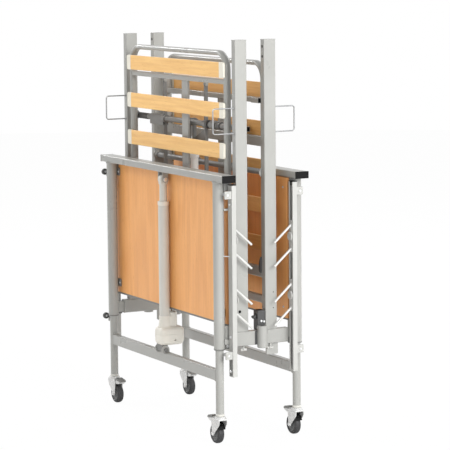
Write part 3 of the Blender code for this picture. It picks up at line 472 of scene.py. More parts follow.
def raw_block(low, high):
    """A cube stretched between two corners, given in either order."""
    corners = [sorted(pair) for pair in zip(low, high)]
    bpy.ops.object.select_all(action="DESELECT")
    middle = [sum(pair) / 2 for pair in corners]
    bpy.ops.mesh.primitive_cube_add(size=1.0, location=middle)
    bpy.context.object.scale = [top - bottom for bottom, top in corners]
    return settle()


def rounded_block(low, high, rounding, steps=3):
    """A block with all its edges rounded."""
    return break_edges(raw_block(low, high), rounding, steps)


def rolled_tube(low, high, axis, corner, open_towards=(), wall=0.0, depth=0.0):
    """A rolled square tube: round long edges, and cut ends that may be open."""
    tube = raw_block(low, high)
    pick_edges(tube, axis)
    bpy.ops.mesh.bevel(offset=corner, segments=4, affect="EDGES")
    leave_edit()
    for direction in open_towards:
        sink_face(tube, direction, wall, depth)
    return break_edges(tube, 0.0006)


def disc(sides, radius, place=(0.0, 0.0, 0.0), turn=(0.0, 0.0, 0.0)):
    """A filled circle to start from."""
    bpy.ops.object.select_all(action="DESELECT")
    bpy.ops.mesh.primitive_circle_add(
        vertices=sides, radius=radius, fill_type="NGON", location=place, rotation=turn
    )
    return settle()


def turned(profile, start, axis=UP, sides=40):
    """A lathe piece: a disc drawn out along an axis through (distance, radius) steps."""
    distance, radius = profile[0]
    lathed = disc(sides, radius, (0.0, 0.0, distance))
    enter_edit()
    for next_distance, next_radius in profile[1:]:
        extrude((0.0, 0.0, next_distance - distance))
        grow = next_radius / radius
        bpy.ops.transform.resize(value=(grow, grow, 1.0), center_override=(0.0, 0.0, next_distance))
        distance, radius = next_distance, next_radius
    leave_edit()
    face_outwards(lathed)
    turn = Vector(axis).to_track_quat("Z", "Y").to_matrix().to_4x4()
    lathed.matrix_world = Matrix.Translation(start) @ turn
    return settle()


def both_ways(half, middle=()):
    """A profile that is alike on both sides of its start, from the half that runs inwards."""
    return [(-distance, radius) for distance, radius in half] + [*middle] + half[::-1]


def round_bar(start, end, radius, chamfer=0.0008, sides=40):
    """A round bar from point to point with broken ends."""
    run = Vector(end) - Vector(start)
    length = run.length
    profile = [
        (0.0, radius - chamfer), (chamfer, radius), (length - chamfer, radius),
        (length, radius - chamfer),
    ]
    return turned(profile, start, run, sides)


def bent_u(start, run, over, width, corner, radius, sides, steps):
    """A round tube bent to a U: a run, a quarter bend, straight over, a second bend and back."""
    start, axis = Vector(start), run.normalized().cross(over)
    tube = disc(sides, radius, start, run.to_track_quat("Z", "Y").to_euler())
    enter_edit()
    extrude(run)
    for distance, move in ((corner, over * (width - 2 * corner)), (width - corner, -run)):
        centre = start + run + over * distance
        bpy.ops.mesh.spin(steps=steps, angle=-pi / 2, center=centre, axis=axis)
        extrude(move)
    leave_edit()
    return face_outwards(tube)


def cut_plate(outline, thickness, place, rounding):
    """A plate cut to an outline in its own plane, drawn out to its thickness and then placed."""
    plate = disc(len(outline), 1.0)
    for point, (across, upward) in zip(plate.data.vertices, outline):
        point.co = (across, upward, 0.0)
    enter_edit()
    extrude((0.0, 0.0, thickness))
    leave_edit()
    face_outwards(plate)
    break_edges(plate, rounding)
    plate.matrix_world = place
    settle()
    return face_outwards(plate)


def standing_plate(outline, y, thickness, rounding=PLATE_EDGE):
    """A plate square to Y, from an outline of X and Z values; it grows towards -Y."""
    place = Matrix.Translation((0.0, y, 0.0)) @ Matrix.Rotation(pi / 2, 4, "X")
    return cut_plate(outline, thickness, place, rounding)


def side_plate(outline, inner, thickness, side=RIGHT):
    """A plate square to X, from an outline of Y and Z values and its distance from the middle."""
    x = inner if side == RIGHT else -inner - thickness
    turn = Matrix(((0.0, 0.0, 1.0), (1.0, 0.0, 0.0), (0.0, 1.0, 0.0))).to_4x4()
    return cut_plate(outline, thickness, Matrix.Translation((x, 0.0, 0.0)) @ turn, PLATE_EDGE)


def shifted(outline, across, upward):
    """An outline moved in its own plane."""
    return [(across + first, upward + second) for first, second in outline]


def arc(centre, radius, start, end, steps=8):
    """Points on an arc, by angles in degrees."""
    angles = [radians(start + (end - start) * step / steps) for step in range(steps + 1)]
    return [(centre[0] + radius * cos(angle), centre[1] + radius * sin(angle)) for angle in angles]


def joined(*things):
    """Several shapes made one object."""
    pick_only(*things)
    bpy.ops.object.join()
    return bpy.context.object


def drill(thing, centre, direction, radius, depth):
    """Cut a round hole from a point on the surface inwards."""
    lead = 0.002
    start = Vector(centre) - direction * lead
    cutter = turned([(0.0, radius), (depth + lead, radius)], start, direction, 24)
    apply_modifier(thing, "BOOLEAN", operation="DIFFERENCE", solver="EXACT", object=cutter)
    bpy.data.objects.remove(cutter)
    return thing


def mirrored(pattern, across, along):
    """A copy with its own mesh, on the other side of the bed's middle planes."""
    pick_only(pattern)
    bpy.ops.object.duplicate()
    copy = bpy.context.object
    copy.scale = (across, along, 1.0)
    settle()
    return face_outwards(copy)


def at_ends(pattern):
    """The foot end's pattern and its copy at the head end, with their names."""
    yield "head", mirrored(pattern, 1.0, -1.0)
    yield "foot", pattern


def at_sides(pattern):
    """The right side's pattern and its copy on the left, with their names."""
    yield "left", mirrored(pattern, -1.0, 1.0)
    yield "right", pattern


def at_corners(pattern):
    """Copies of the pattern at all four corners; the pattern itself stays at the foot on the right."""
    for end_name, end in ENDS.items():
        for side_name, side in SIDES.items():
            if (end, side) != (FOOT, RIGHT):
                yield f"{end_name}_{side_name}", mirrored(pattern, side, -end)
    yield "foot_right", pattern


def fit(thing, name, body, finish, *nodes):
    """Name a finished piece, give it its finish and body, and hide the CAD nodes it stands for."""
    thing.name = name
    thing.data.name = name
    thing.data.materials.clear()
    thing.data.materials.append(FINISHES[finish])
    pick_only(thing)
    bpy.ops.object.shade_smooth_by_angle(angle=SMOOTH_ANGLE)
    apply_modifier(thing, "WEIGHTED_NORMAL", keep_sharp=True)
    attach(thing, body)
    SLOTS.get(finish, finish)
    if nodes:
        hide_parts(*nodes)
    return thing


def fit_copies(copies, name, body, finish, node=None):
    """Fit copies of a pattern, each with its place in the names. Gives the finished pieces."""
    fitted = []
    for place, piece in copies:
        nodes = [f"{place}_{node}"] if node else []
        fitted.append(fit(piece, f"{place}_{name}", body.format(place), finish, *nodes))
    return fitted


def paint_faces(thing, finish, test):
    """Give a second finish to those faces whose middle and normal pass a test."""
    thing.data.materials.append(FINISHES[finish])
    for face in thing.data.polygons:
        if test(face.center, face.normal):
            face.material_index = len(thing.data.materials) - 1


def leg_frames():
    """Inner legs with crossbar, weld beads and drive ears, and the sockets that hold the castors."""
    parts = [rolled_tube((-0.440, -0.1725, 0.233), (0.440, -0.1475, 0.273), ACROSS, 0.004)]
    ear = [(-0.1530, 0.2705), *arc((-PIN_Y, PIN_Z), 0.0162, 0.0, 310.0, 20)]
    rim = [(0.0, 0.0152), (0.0008, 0.0160), (0.0075, 0.0160), (0.0085, 0.0151)]
    sockets = []
    for side in (LEFT, RIGHT):
        x = side * LEG_X
        parts.append(round_bar((x, -LEG_Y, LEG_BOTTOM), (x, -LEG_Y, LEG_TOP), 0.015))
        bead = (side * 0.4338, -0.1740, 0.2315), (side * 0.4418, -0.1460, 0.2745)
        parts.append(rounded_block(*bead, 0.0024))
        parts.append(side_plate(ear, 0.0260, 0.005, side))
        sockets.append(turned(rim, (x, -LEG_Y, LEG_BOTTOM)))
    fit_copies(at_ends(joined(*parts)), "legs", "{}_base", "grey_coat", "leg_frame")
    fit_copies(at_ends(joined(*sockets)), "leg_sockets", "{}_base", "pale_tube")


def top_frames():
    """Top bar on two sleeves, with stubs for the transport bars, drive ears and rail brackets."""
    parts = [rolled_tube(*zip((-TOP_BAR_X, TOP_BAR_X), TOP_BAR_Y, TOP_BAR_Z), ACROSS, 0.0045)]
    ear = [(-0.1445, 0.959), (-0.1695, 0.959), *arc((-ROD_Y, ROD_PIN_Z), 0.0125, 180.0, 360.0)]
    sleeve = [(0.030, 0.0153), (0.0, 0.0153), (0.0, 0.0193), (0.0008, 0.0200), (0.6085, 0.0200)]
    ring = [(0.0, 0.0200), (0.0015, 0.0218), (0.0040, 0.0226), (0.0055, 0.0222)]
    bush = [
        (0.006, 0.0152), (0.0, 0.0152), (0.0, 0.0196), (0.0008, 0.0206), (0.0042, 0.0206),
        (0.0052, 0.0196),
    ]
    bolt = [(0.0, 0.0055), (0.0035, 0.0055), (0.0042, 0.0046)]
    bushes = []
    couplings = []
    bolts = []
    for side in (LEFT, RIGHT):
        x = side * LEG_X
        parts.append(turned(sleeve, (x, -LEG_Y, SLEEVE_BOTTOM)))
        parts.append(turned(ring, (x, -LEG_Y, 0.953)))
        parts.append(side_plate(ear, 0.0141, 0.005, side))
        stub = (x - 0.0084, -LEG_Y, 0.3601), (x + 0.0084, -0.078, 0.4029)
        parts.append(rolled_tube(*stub, ALONG, 0.002))
        for level, height in RAIL_BRACKETS:
            bracket = (side * 0.460, -0.150, level - height), (side * 0.4747, -0.130, level + height)
            parts.append(rounded_block(*bracket, 0.002))
        bushes.append(turned(bush, (x, -LEG_Y, 0.3470)))
        block = (x + side * 0.0070, -0.1440, 0.350), (x + side * 0.0165, -0.1183, 0.374)
        couplings.append(rounded_block(*block, 0.002))
        upper_top = 0.436 if side > 0 else 0.402
        upper = (x + side * 0.0070, -0.1440, 0.373), (x + side * 0.0165, -0.1183, upper_top)
        parts.append(rounded_block(*upper, 0.002))
        holder = (side * 0.4405, -0.1500, 0.926), (side * 0.4747, -0.1250, 0.9575)
        couplings.append(rounded_block(*holder, 0.002))
        bolts.append(turned(bolt, (x + side * 0.0163, -0.1360, 0.362), ACROSS * side, 6))
    fit_copies(at_ends(joined(*parts)), "top_frame", "upper_frame", "grey_coat", "lift_frame")
    fit_copies(at_ends(joined(*bushes)), "sleeve_bushes", "upper_frame", "mid_coat_and_shade")
    fit_copies(at_ends(joined(*couplings)), "bar_couplings", "upper_frame", "mid_coat_and_shade")
    fit_copies(at_ends(joined(*bolts)), "coupling_bolts", "upper_frame", "zinc")


def bar_caps():
    """Black plugs that close the ends of the top bars."""
    cap = raw_block(*zip((0.5118, 0.516), TOP_BAR_Y, TOP_BAR_Z))
    sink_face(cap, ACROSS, 0.0045, 0.0012)
    break_edges(cap, 0.0012)
    fit_copies(at_corners(cap), "bar_cap", "upper_frame", "black_plastic")


def end_boards():
    """Beech-look boards with banded edges, bottom trims, and clips that hold them to the sleeves."""
    board = rounded_block(*zip((-BOARD_X, BOARD_X), BOARD_Y, BOARD_Z), 0.0012, 2)
    for piece in fit_copies(at_ends(board), "board", "upper_frame", "beech_board", "end_panel"):
        paint_faces(piece, "board_edge", lambda middle, normal: abs(normal.y) < 0.7)
    clips = [rounded_block((-BOARD_X, -0.1354, 0.4340), (BOARD_X, -0.1176, 0.4406), 0.001, 2)]
    head = [(0.0, 0.0042), (0.0012, 0.0042), (0.0022, 0.0030), (0.0022, 0.0014), (0.0014, 0.0012)]
    screws = []
    for side in (LEFT, RIGHT):
        for level in CLIP_LEVELS:
            clip = (side * 0.4240, -0.1405, level - 0.015), (side * 0.4480, -0.1340, level + 0.015)
            clips.append(rounded_block(*clip, 0.002, 2))
            screws.append(turned(head, (side * 0.4290, -0.1403, level), -ALONG, 24))
            screws.append(turned(head, (side * 0.4290, -0.1186, level), ALONG, 24))
    fit_copies(at_ends(joined(*clips)), "board_clips", "upper_frame", "mid_coat_and_shade")
    fit_copies(at_ends(joined(*screws)), "board_screws", "upper_frame", "zinc")


def split_housing(low, high, rounding, level):
    """A round-edged housing of two half shells with the fine gap of their parting line."""
    lower = break_edges(raw_block(low, high), rounding, 6)
    pick_only(lower)
    bpy.ops.object.duplicate()
    upper = bpy.context.object
    gap = 0.0002
    for shell, height, keep_low in ((lower, level - gap, True), (upper, level + gap, False)):
        pick_only(shell)
        enter_edit()
        bpy.ops.mesh.bisect(
            plane_co=(0.0, 0.0, height),
            plane_no=UP,
            use_fill=True,
            clear_outer=keep_low,
            clear_inner=not keep_low,
        )
        leave_edit()
        break_edges(shell, 0.0005)
    return lower, upper


def headed_pin(middle, grip):
    """A round pin across a joint, with a head at each end of its grip."""
    half = [(grip + 0.0041, 0.0068), (grip + 0.0029, 0.0082), (grip, 0.0082), (grip, 0.0049)]
    return turned(both_ways(half), middle, ACROSS)


def lift_drives():
    """Lifting columns: split gear housing with motor can, tube with collar, piston with its eye."""
    lower, upper = split_housing((-0.035, -0.1885, 0.298), (0.035, -0.086, 0.369), 0.019, 0.3400)
    for side in (LEFT, RIGHT):
        drill(lower, (side * 0.035, -0.1300, 0.3175), ACROSS * -side, 0.0026, 0.010)
    neck = [
        (0.0, 0.0262), (0.003, 0.0255), (0.009, 0.0226), (0.030, 0.0216), (0.0312, 0.0208),
        (0.0324, 0.0216), (0.0425, 0.0212),
    ]
    can = [
        (0.0, 0.0185), (0.064, 0.0185), (0.068, 0.0170), (0.070, 0.0140), (0.070, 0.0090),
        (0.0715, 0.0086),
    ]
    collar = [
        (0.0, 0.0202), (0.0012, 0.0214), (0.0135, 0.0214), (0.0155, 0.0204), (0.0155, 0.0150),
        (0.004, 0.0150),
    ]
    axis_y = -ROD_Y
    web = rounded_block((-0.0178, -0.1560, 0.360), (0.0178, -0.1280, 0.4085), 0.004)
    motor = turned(can, (0.0, -0.126, 0.354))
    housing = joined(lower, upper, web, turned(neck, (0.0, axis_y, 0.367)), motor)
    tube = round_bar((0.0, axis_y, 0.4060), (0.0, axis_y, 0.8320), 0.0200)
    rod = round_bar((0.0, axis_y, 0.4110), (0.0, axis_y, 0.9200), 0.0144)
    eye = turned(both_ways([(0.0125, 0.0152), (0.0108, 0.0170)]), (0.0, axis_y, ROD_PIN_Z), ACROSS)
    crown = rounded_block((-0.0122, axis_y - 0.0150, 0.908), (0.0122, axis_y + 0.0150, 0.931), 0.005)
    knuckle = joined(
        turned(both_ways([(0.0252, 0.0110), (0.0242, 0.0118)]), (0.0, -PIN_Y, 0.2840), ACROSS),
        rounded_block((-0.0250, -PIN_Y - 0.0115, 0.2840), (0.0250, -PIN_Y + 0.0115, 0.3005), 0.001),
    )
    sleeve = turned(collar, (0.0, axis_y, 0.8305))
    low_pin = headed_pin((0.0, -PIN_Y, PIN_Z), 0.0312)
    rod_pin = headed_pin((0.0, axis_y, ROD_PIN_Z), 0.0193)
    piston = joined(rod, eye, crown)
    fit_copies(at_ends(housing), "lift_housing", "{}_base", "cream_plastic", "lift_drive")
    fit_copies(at_ends(tube), "lift_tube", "{}_base", "pale_tube")
    fit_copies(at_ends(sleeve), "lift_collar", "{}_base", "cream_plastic")
    # The knuckle and its pin are drawn darker than the frame they belong to: painted shade under the gear
    # housing.
    fit_copies(at_ends(knuckle), "drive_knuckle", "{}_base", "mid_coat_and_shade")
    fit_copies(at_ends(low_pin), "drive_pin", "{}_base", "mid_coat_and_shade")
    fit_copies(at_ends(piston), "lift_rod", "upper_frame", "pale_tube", "lift_piston")
    fit_copies(at_ends(rod_pin), "rod_pin", "upper_frame", "zinc")


def castors():
    """Braked swivel castors: pressed fork with swivel dome, wheel with grey hub, and pedal."""
    x, y = LEG_X, -LEG_Y
    axle_x, axle_z = x - AXLE_TRAIL, AXLE_Z
    dome = [
        (0.0900, 0.0195), (0.0912, 0.0222), (0.0945, 0.0230), (0.0962, 0.0222), (0.0968, 0.0200),
        (0.1000, 0.0208), (0.1020, 0.0200), (0.1036, 0.0166),
    ]
    cheek = [
        (x + 0.0222, 0.0955), (x + 0.0238, 0.0880), (x + 0.0225, 0.0760), (x + 0.0120, 0.0640),
        *arc((axle_x, axle_z), 0.0086, 0.0, -170.0, 10),
        (x - 0.0345, 0.0540),
        (x - 0.0365, 0.0720),
        *arc((x - 0.0280, 0.0860), 0.0095, 190.0, 90.0, 5),
    ]
    fork = [turned(dome, (x, y, 0.0))]
    for face in (y - 0.0145, y + 0.0180):
        fork.append(standing_plate(cheek, face, 0.0035, 0.0012))
    fork.append(rounded_block((x - 0.0300, y - 0.0172, 0.0895), (x + 0.0222, y + 0.0172, 0.0955), 0.0020))
    bolt = both_ways([(0.0225, 0.0064), (0.0215, 0.0074), (0.0178, 0.0074), (0.0178, 0.0049)])
    fork.append(turned(bolt, (axle_x, y, axle_z), ALONG, 6))
    wheel_half = [
        (0.0122, 0.0062), (0.0130, 0.0078), (0.0130, 0.0122), (0.0108, 0.0136), (0.0100, 0.0150),
        (0.0100, 0.0252), (0.0122, 0.0266), (0.0130, 0.0290), (0.0124, 0.0318), (0.0104, 0.0350),
        (0.0070, 0.0368), (0.0035, 0.0374),
    ]
    profile = both_ways(wheel_half, [(0.0, 0.0375)])
    wheel = turned(profile, (axle_x, y, axle_z), ALONG, 56)
    pivot_x, pivot_z = x - 0.020, 0.085
    wedge = [
        (0.0040, 0.0035), (-0.0120, 0.0040), (-0.0160, 0.0140), (-0.0210, 0.0150),
        (-0.0510, 0.0105), (-0.0545, 0.0080), (-0.0540, 0.0035), (-0.0400, -0.0050),
        (-0.0200, -0.0075), (0.0040, -0.0035),
    ]
    pivot = (pivot_x, y - 0.0142, pivot_z), (pivot_x, y + 0.0142, pivot_z)
    pedal = [
        standing_plate(shifted(wedge, pivot_x, pivot_z), y + 0.0135, 0.0270, 0.0016),
        round_bar(*pivot, 0.0050, 0.0006, 24),
    ]
    pad = [
        (-0.0150, 0.0080), (-0.0160, 0.0150), (-0.0210, 0.0158), (-0.0510, 0.0112),
        (-0.0553, 0.0085), (-0.0545, 0.0035),
    ]
    tread = [standing_plate(shifted(pad, pivot_x, pivot_z), y + 0.0141, 0.0282, 0.0012)]
    for step in range(5):
        near = pivot_x - 0.0200 - 0.0068 * step
        top = pivot_z + 0.0172 - 0.00105 * step
        rib = (near - 0.0046, y - 0.0128, top - 0.0030), (near, y + 0.0128, top)
        tread.append(rounded_block(*rib, 0.0008, 2))
    # A black arc over the tyre between the fork cheeks: painted shadow on the top of the tyre inside the
    # fork.
    tyre_shadow = [
        *arc((axle_x, axle_z), 0.0405, 102.0, 26.0, 12),
        *arc((axle_x, axle_z), 0.0455, 26.0, 102.0, 12),
    ]
    tyre_shadow = standing_plate(tyre_shadow, y + 0.0138, 0.0276, 0.0010)

    def on_hub(middle, normal):
        """Tell whether a face of the wheel belongs to its hub."""
        return hypot(abs(middle.x) - axle_x, middle.z - axle_z) < HUB_RADIUS

    fit_copies(at_corners(joined(*fork)), "fork", "{}_castor", "castor_zinc", "castor_fork")
    for piece in fit_copies(at_corners(wheel), "tyred_wheel", "{}_wheel", "tyre", "castor_wheel"):
        paint_faces(piece, "grey_plastic", on_hub)
    fit_copies(at_corners(joined(*pedal)), "brake_lever", "{}_pedal", "castor_zinc", "castor_pedal")
    fit_copies(at_corners(tyre_shadow), "wheel_tyre_shadow", "{}_castor", "black_plastic")
    fit_copies(at_corners(joined(*tread)), "pedal_tread", "{}_pedal", "mid_coat_and_shade")


def guide_rails():
    """White lipped channels beside the sleeves, with ringed fixing blocks, screws and stops; dark knob
    shapes at the foot's left rail are painted shade.
    """
    channel = [
        (0.475, -0.134), (0.505, -0.134), (0.505, -0.116), (0.498, -0.116), (0.498, -0.119),
        (0.502, -0.119), (0.502, -0.131), (0.478, -0.131), (0.478, -0.119), (0.482, -0.119),
        (0.482, -0.116), (0.475, -0.116),
    ]
    rail = cut_plate(channel, RAIL_LENGTH, Matrix.Translation((0.0, 0.0, RAIL_BOTTOM)), 0.0007)
    ring = [(0.0, 0.0098), (0.0016, 0.0092), (0.0016, 0.0060), (0.0003, 0.0052)]
    head = [(0.0, 0.0048), (0.0030, 0.0048), (0.0048, 0.0032), (0.0050, 0.0012)]
    screw_y = -0.1490
    blocks = []
    screws = []
    for level in RAIL_BLOCK_LEVELS:
        block = (0.4945, -0.1610, level - 0.0145), (0.5036, -0.1336, level + 0.0145)
        blocks.append(rounded_block(*block, 0.0028))
        blocks.append(turned(ring, (0.5034, screw_y, level), ACROSS))
        screws.append(turned([(0.0, 0.0046), (0.0008, 0.0040)], (0.5035, screw_y, level), ACROSS, 20))
        screws.append(round_bar((0.4660, screw_y, level), (0.4950, screw_y, level), 0.0060, 0.0006, 20))
    for level in RAIL_SCREW_LEVELS:
        screws.append(turned(head, (RAIL_X, -0.1338, level), -ALONG, 20))
    screws.append(round_bar((0.4660, -0.1500, 0.690), (0.4840, -0.1335, 0.690), 0.0020, 0.0004, 16))
    stop = rounded_block((0.4746, -0.1344, 0.9465), (0.5054, -0.1156, 0.950), 0.0008, 2)
    seal = rounded_block((0.4832, -0.1308, 0.932), (0.4968, -0.1176, 0.9468), 0.0010, 2)
    liner = rounded_block((0.4784, -0.1308, 0.253), (0.5016, -0.1304, 0.9465), 0.0001, 1)
    # A mid-grey strip low on each rail's outer face: painted shade standing for a dark slot there.
    slot_shade = rounded_block((0.4776, -0.1342, 0.255), (0.5004, -0.1332, 0.322), 0.0003, 1)
    channels = joined(rail, *blocks)
    screws = joined(*screws)
    stops = joined(stop, seal, liner)
    fit_copies(at_corners(channels), "rail", "upper_frame", "white_plastic", "guide_rail")
    fit_copies(at_corners(slot_shade), "rail_slot_shade", "upper_frame", "mid_coat_and_shade")
    fit_copies(at_corners(screws), "rail_screws", "upper_frame", "zinc")
    fit_copies(at_corners(stops), "rail_stop", "upper_frame", "black_plastic")
    grip = [
        (0.0, 0.0050), (0.0010, 0.0112), (0.0026, 0.0125), (0.0110, 0.0125), (0.0126, 0.0112),
        (0.0130, 0.0062), (0.0118, 0.0056),
    ]
    # Dark knob shapes at the foot's left rail only: painted shade of the fixing blocks' shaded inner side,
    # with zinc centres.
    shade_knobs = []
    inserts = []
    for seat in SHADE_KNOB_SEATS:
        shade_knobs.append(turned(grip, seat, ACROSS, 16))
        insert = Vector(seat) + ACROSS * 0.0119
        inserts.append(turned([(0.0, 0.0050), (0.0008, 0.0044)], insert, ACROSS, 20))
    fit(joined(*shade_knobs), "foot_left_rail_shade_knobs", "upper_frame", "dark_coat_and_shade")
    fit(joined(*inserts), "foot_left_knob_inserts", "upper_frame", "zinc")


def rail_sliders():
    """Sliders with a lock button and two slanting pegs."""
    for place, level in SLIDER_LEVELS.items():
        low, high = level - SLIDER_HALF, level + SLIDER_HALF
        parts = [
            rounded_block((RAIL_X - 0.0113, -0.1303, low), (RAIL_X + 0.0113, -0.1197, high), 0.0012),
            rounded_block((RAIL_X - 0.0073, -0.1206, low), (RAIL_X + 0.0073, -0.1150, high), 0.0010),
        ]
        button = [
            (0.0, 0.0070), (0.0010, 0.0070), (0.0010, 0.0145), (0.0022, 0.0162), (0.0050, 0.0162),
            (0.0062, 0.0148), (0.0066, 0.0120),
        ]
        parts.append(turned(button, (RAIL_X, -0.1152, level), ALONG))
        for step in (-1, 1):
            root = Vector((RAIL_X, -0.1196, level + step * 0.0435))
            tip = root + Vector((0.0, 0.073, -0.064))
            parts.append(round_bar(root, tip, 0.0043, 0.0007, 24))
        name = f"{place}_slider"
        copies = at_corners(joined(*parts))
        for piece in fit_copies(copies, f"{place}_peg_slider", "{}_" + name, "white_plastic", name):
            # The pegs get the lighter copy of the white plastic: painted light.
            paint_faces(piece, "peg_white_painted_light", lambda middle, normal: abs(middle.y) < 0.1070)


def wing_screw(x, y, top):
    """A small wing screw that hangs under a transport bar."""
    stem = [
        (0.0, 0.0030), (0.0105, 0.0030), (0.0105, 0.0058), (0.0115, 0.0064), (0.0185, 0.0056),
        (0.0195, 0.0040),
    ]
    wings = (x - 0.0019, y - 0.0125, top - 0.0205), (x + 0.0019, y + 0.0125, top - 0.0120)
    wings = rounded_block(*wings, 0.0016)
    return joined(turned(stem, (x, y, top), -UP, 24), wings)


def transport_bars():
    """Bars that join the end frames, with boss, clamp, spigots, hanger plate and wing screws."""
    x = LEG_X
    corners = zip((0.4365, 0.4635), (-0.118, 0.118), TRANSPORT_BAR_Z)
    bar = [rolled_tube(*corners, ALONG, 0.004, (ALONG, -ALONG), 0.0045, 0.0403)]
    boss = [
        (0.0, 0.0120), (0.0, 0.0172), (0.0018, 0.0190), (0.0792, 0.0190), (0.0810, 0.0172),
        (0.0810, 0.0120), (0.0770, 0.0115),
    ]
    bar.append(turned(boss, (0.472, 0.0045, 0.345), UP, 48))
    for y in HALF_Y.values():
        spigot = (x - 0.0098, y - 0.0203, 0.406), (x + 0.0098, y + 0.0203, 0.468)
        bar.append(rolled_tube(*spigot, UP, 0.002))
    hanger = [
        (0.0320, 0.357),
        *arc((0.0360, 0.3170), 0.004, 180.0, 270.0, 5),
        *arc((0.0760, 0.3170), 0.004, 270.0, 360.0, 5),
        (0.0800, 0.357),
    ]
    bar.append(side_plate(hanger, x - 0.004, 0.008))
    clamp = [
        rounded_block((0.4332, -0.0110, 0.4075), (0.4668, 0.0200, 0.481), 0.003),
        rounded_block((0.4322, -0.0080, 0.4700), (0.4676, 0.0170, 0.4810), 0.002),
        # A thin dark plate on the bar's outer face beside the boss: painted shade of the groove between
        # them.
        rounded_block((0.4630, -0.0215, 0.3560), (0.4660, -0.0060, 0.4070), 0.0010, 2),
    ]
    head = [(0.0, 0.0048), (0.0032, 0.0048), (0.0040, 0.0040), (0.0040, 0.0024), (0.0056, 0.0021)]
    bolts = [turned(head, (0.4664, y, z), ACROSS, 6) for y, z in ((0.0030, 0.4420), (0.0140, 0.4400))]
    screws = [wing_screw(x, -0.0605, 0.3555), wing_screw(x + 0.0092, 0.0450, 0.3555)]
    grip = [
        (0.0, 0.0070), (0.0012, 0.0080), (0.0050, 0.0080), (0.0062, 0.0066), (0.0110, 0.0062),
        (0.0128, 0.0046),
    ]
    knob = joined(
        turned(grip, (x, -0.0113, 0.456), -ALONG, 24),
        rounded_block((x - 0.0105, -0.0241, 0.4528), (x + 0.0105, -0.0162, 0.4592), 0.0024),
    )
    bar, clamp, bolts = joined(*bar), joined(*clamp), joined(*bolts)
    fit_copies(at_sides(bar), "carrier_bar", "upper_frame", "grey_coat", "transport_bar")
    fit_copies(at_sides(clamp), "half_clamp_and_shade_plate", "upper_frame", "dark_coat_and_shade")
    fit_copies(at_sides(bolts), "clamp_bolts", "upper_frame", "zinc")
    fit_copies(at_sides(knob), "clamp_wing", "{}_clamp_knob", "dark_coat_and_shade", "clamp_knob")
    fit(joined(*screws), "right_wing_screws", "upper_frame", "white_plastic")


def side_post(x, y, facing):
    """A side member: rolled tube with open foot and closed top, and the dark plugs of its holes."""
    half_width, half_depth = POST_HALF
    low = (x - half_width, y - half_depth, POST_BOTTOM)
    high = (x + half_width, y + half_depth, POST_TOP - 0.002)
    post = rolled_tube(low, high, UP, 0.0034, (-UP,), 0.0025, 0.090)
    outward = 1.0 if x > 0 else -1.0
    inner_face = y - facing * half_depth
    outer_face = x + outward * half_width
    plugs = []
    holes = [((x, inner_face, level), ALONG * facing, 0.0055) for level in (1.437, 1.401)]
    if facing == FOOT:
        holes.append(((outer_face, y - 0.0116, 0.482), ACROSS * -outward, 0.0058))
    else:
        holes += [((outer_face, y + 0.0090, level), ACROSS * -outward, 0.0022) for level in (0.486, 0.544)]
    for place, inward, radius in holes:
        drill(post, place, inward, radius, 0.004)
        bottom = Vector(place) + inward * 0.0012
        plugs.append(turned([(0.0, radius), (0.0030, radius)], bottom, inward, 24))
    cap_low = (x - half_width - 0.0002, y - half_depth - 0.0002, POST_TOP - 0.0032)
    cap_high = (x + half_width + 0.0002, y + half_depth + 0.0002, POST_TOP)
    return joined(post, rounded_block(cap_low, cap_high, 0.0012)), plugs


def wire_loop(x, face, facing):
    """A retaining loop of round wire that stands out of a side member, with its two weld collars."""
    out = ALONG * facing * (LOOP_REACH - LOOP_CORNER)
    height = LOOP_TOP - LOOP_BOTTOM
    loop = [bent_u((x, face, LOOP_TOP), out, -UP, height, LOOP_CORNER, 0.0025, 16, 8)]
    for level in (LOOP_TOP, LOOP_BOTTOM):
        root = (x, face - facing * 0.001, level)
        loop.append(round_bar(root, (x, face + facing * 0.0035, level), 0.0042, 0.0008, 20))
    return loop


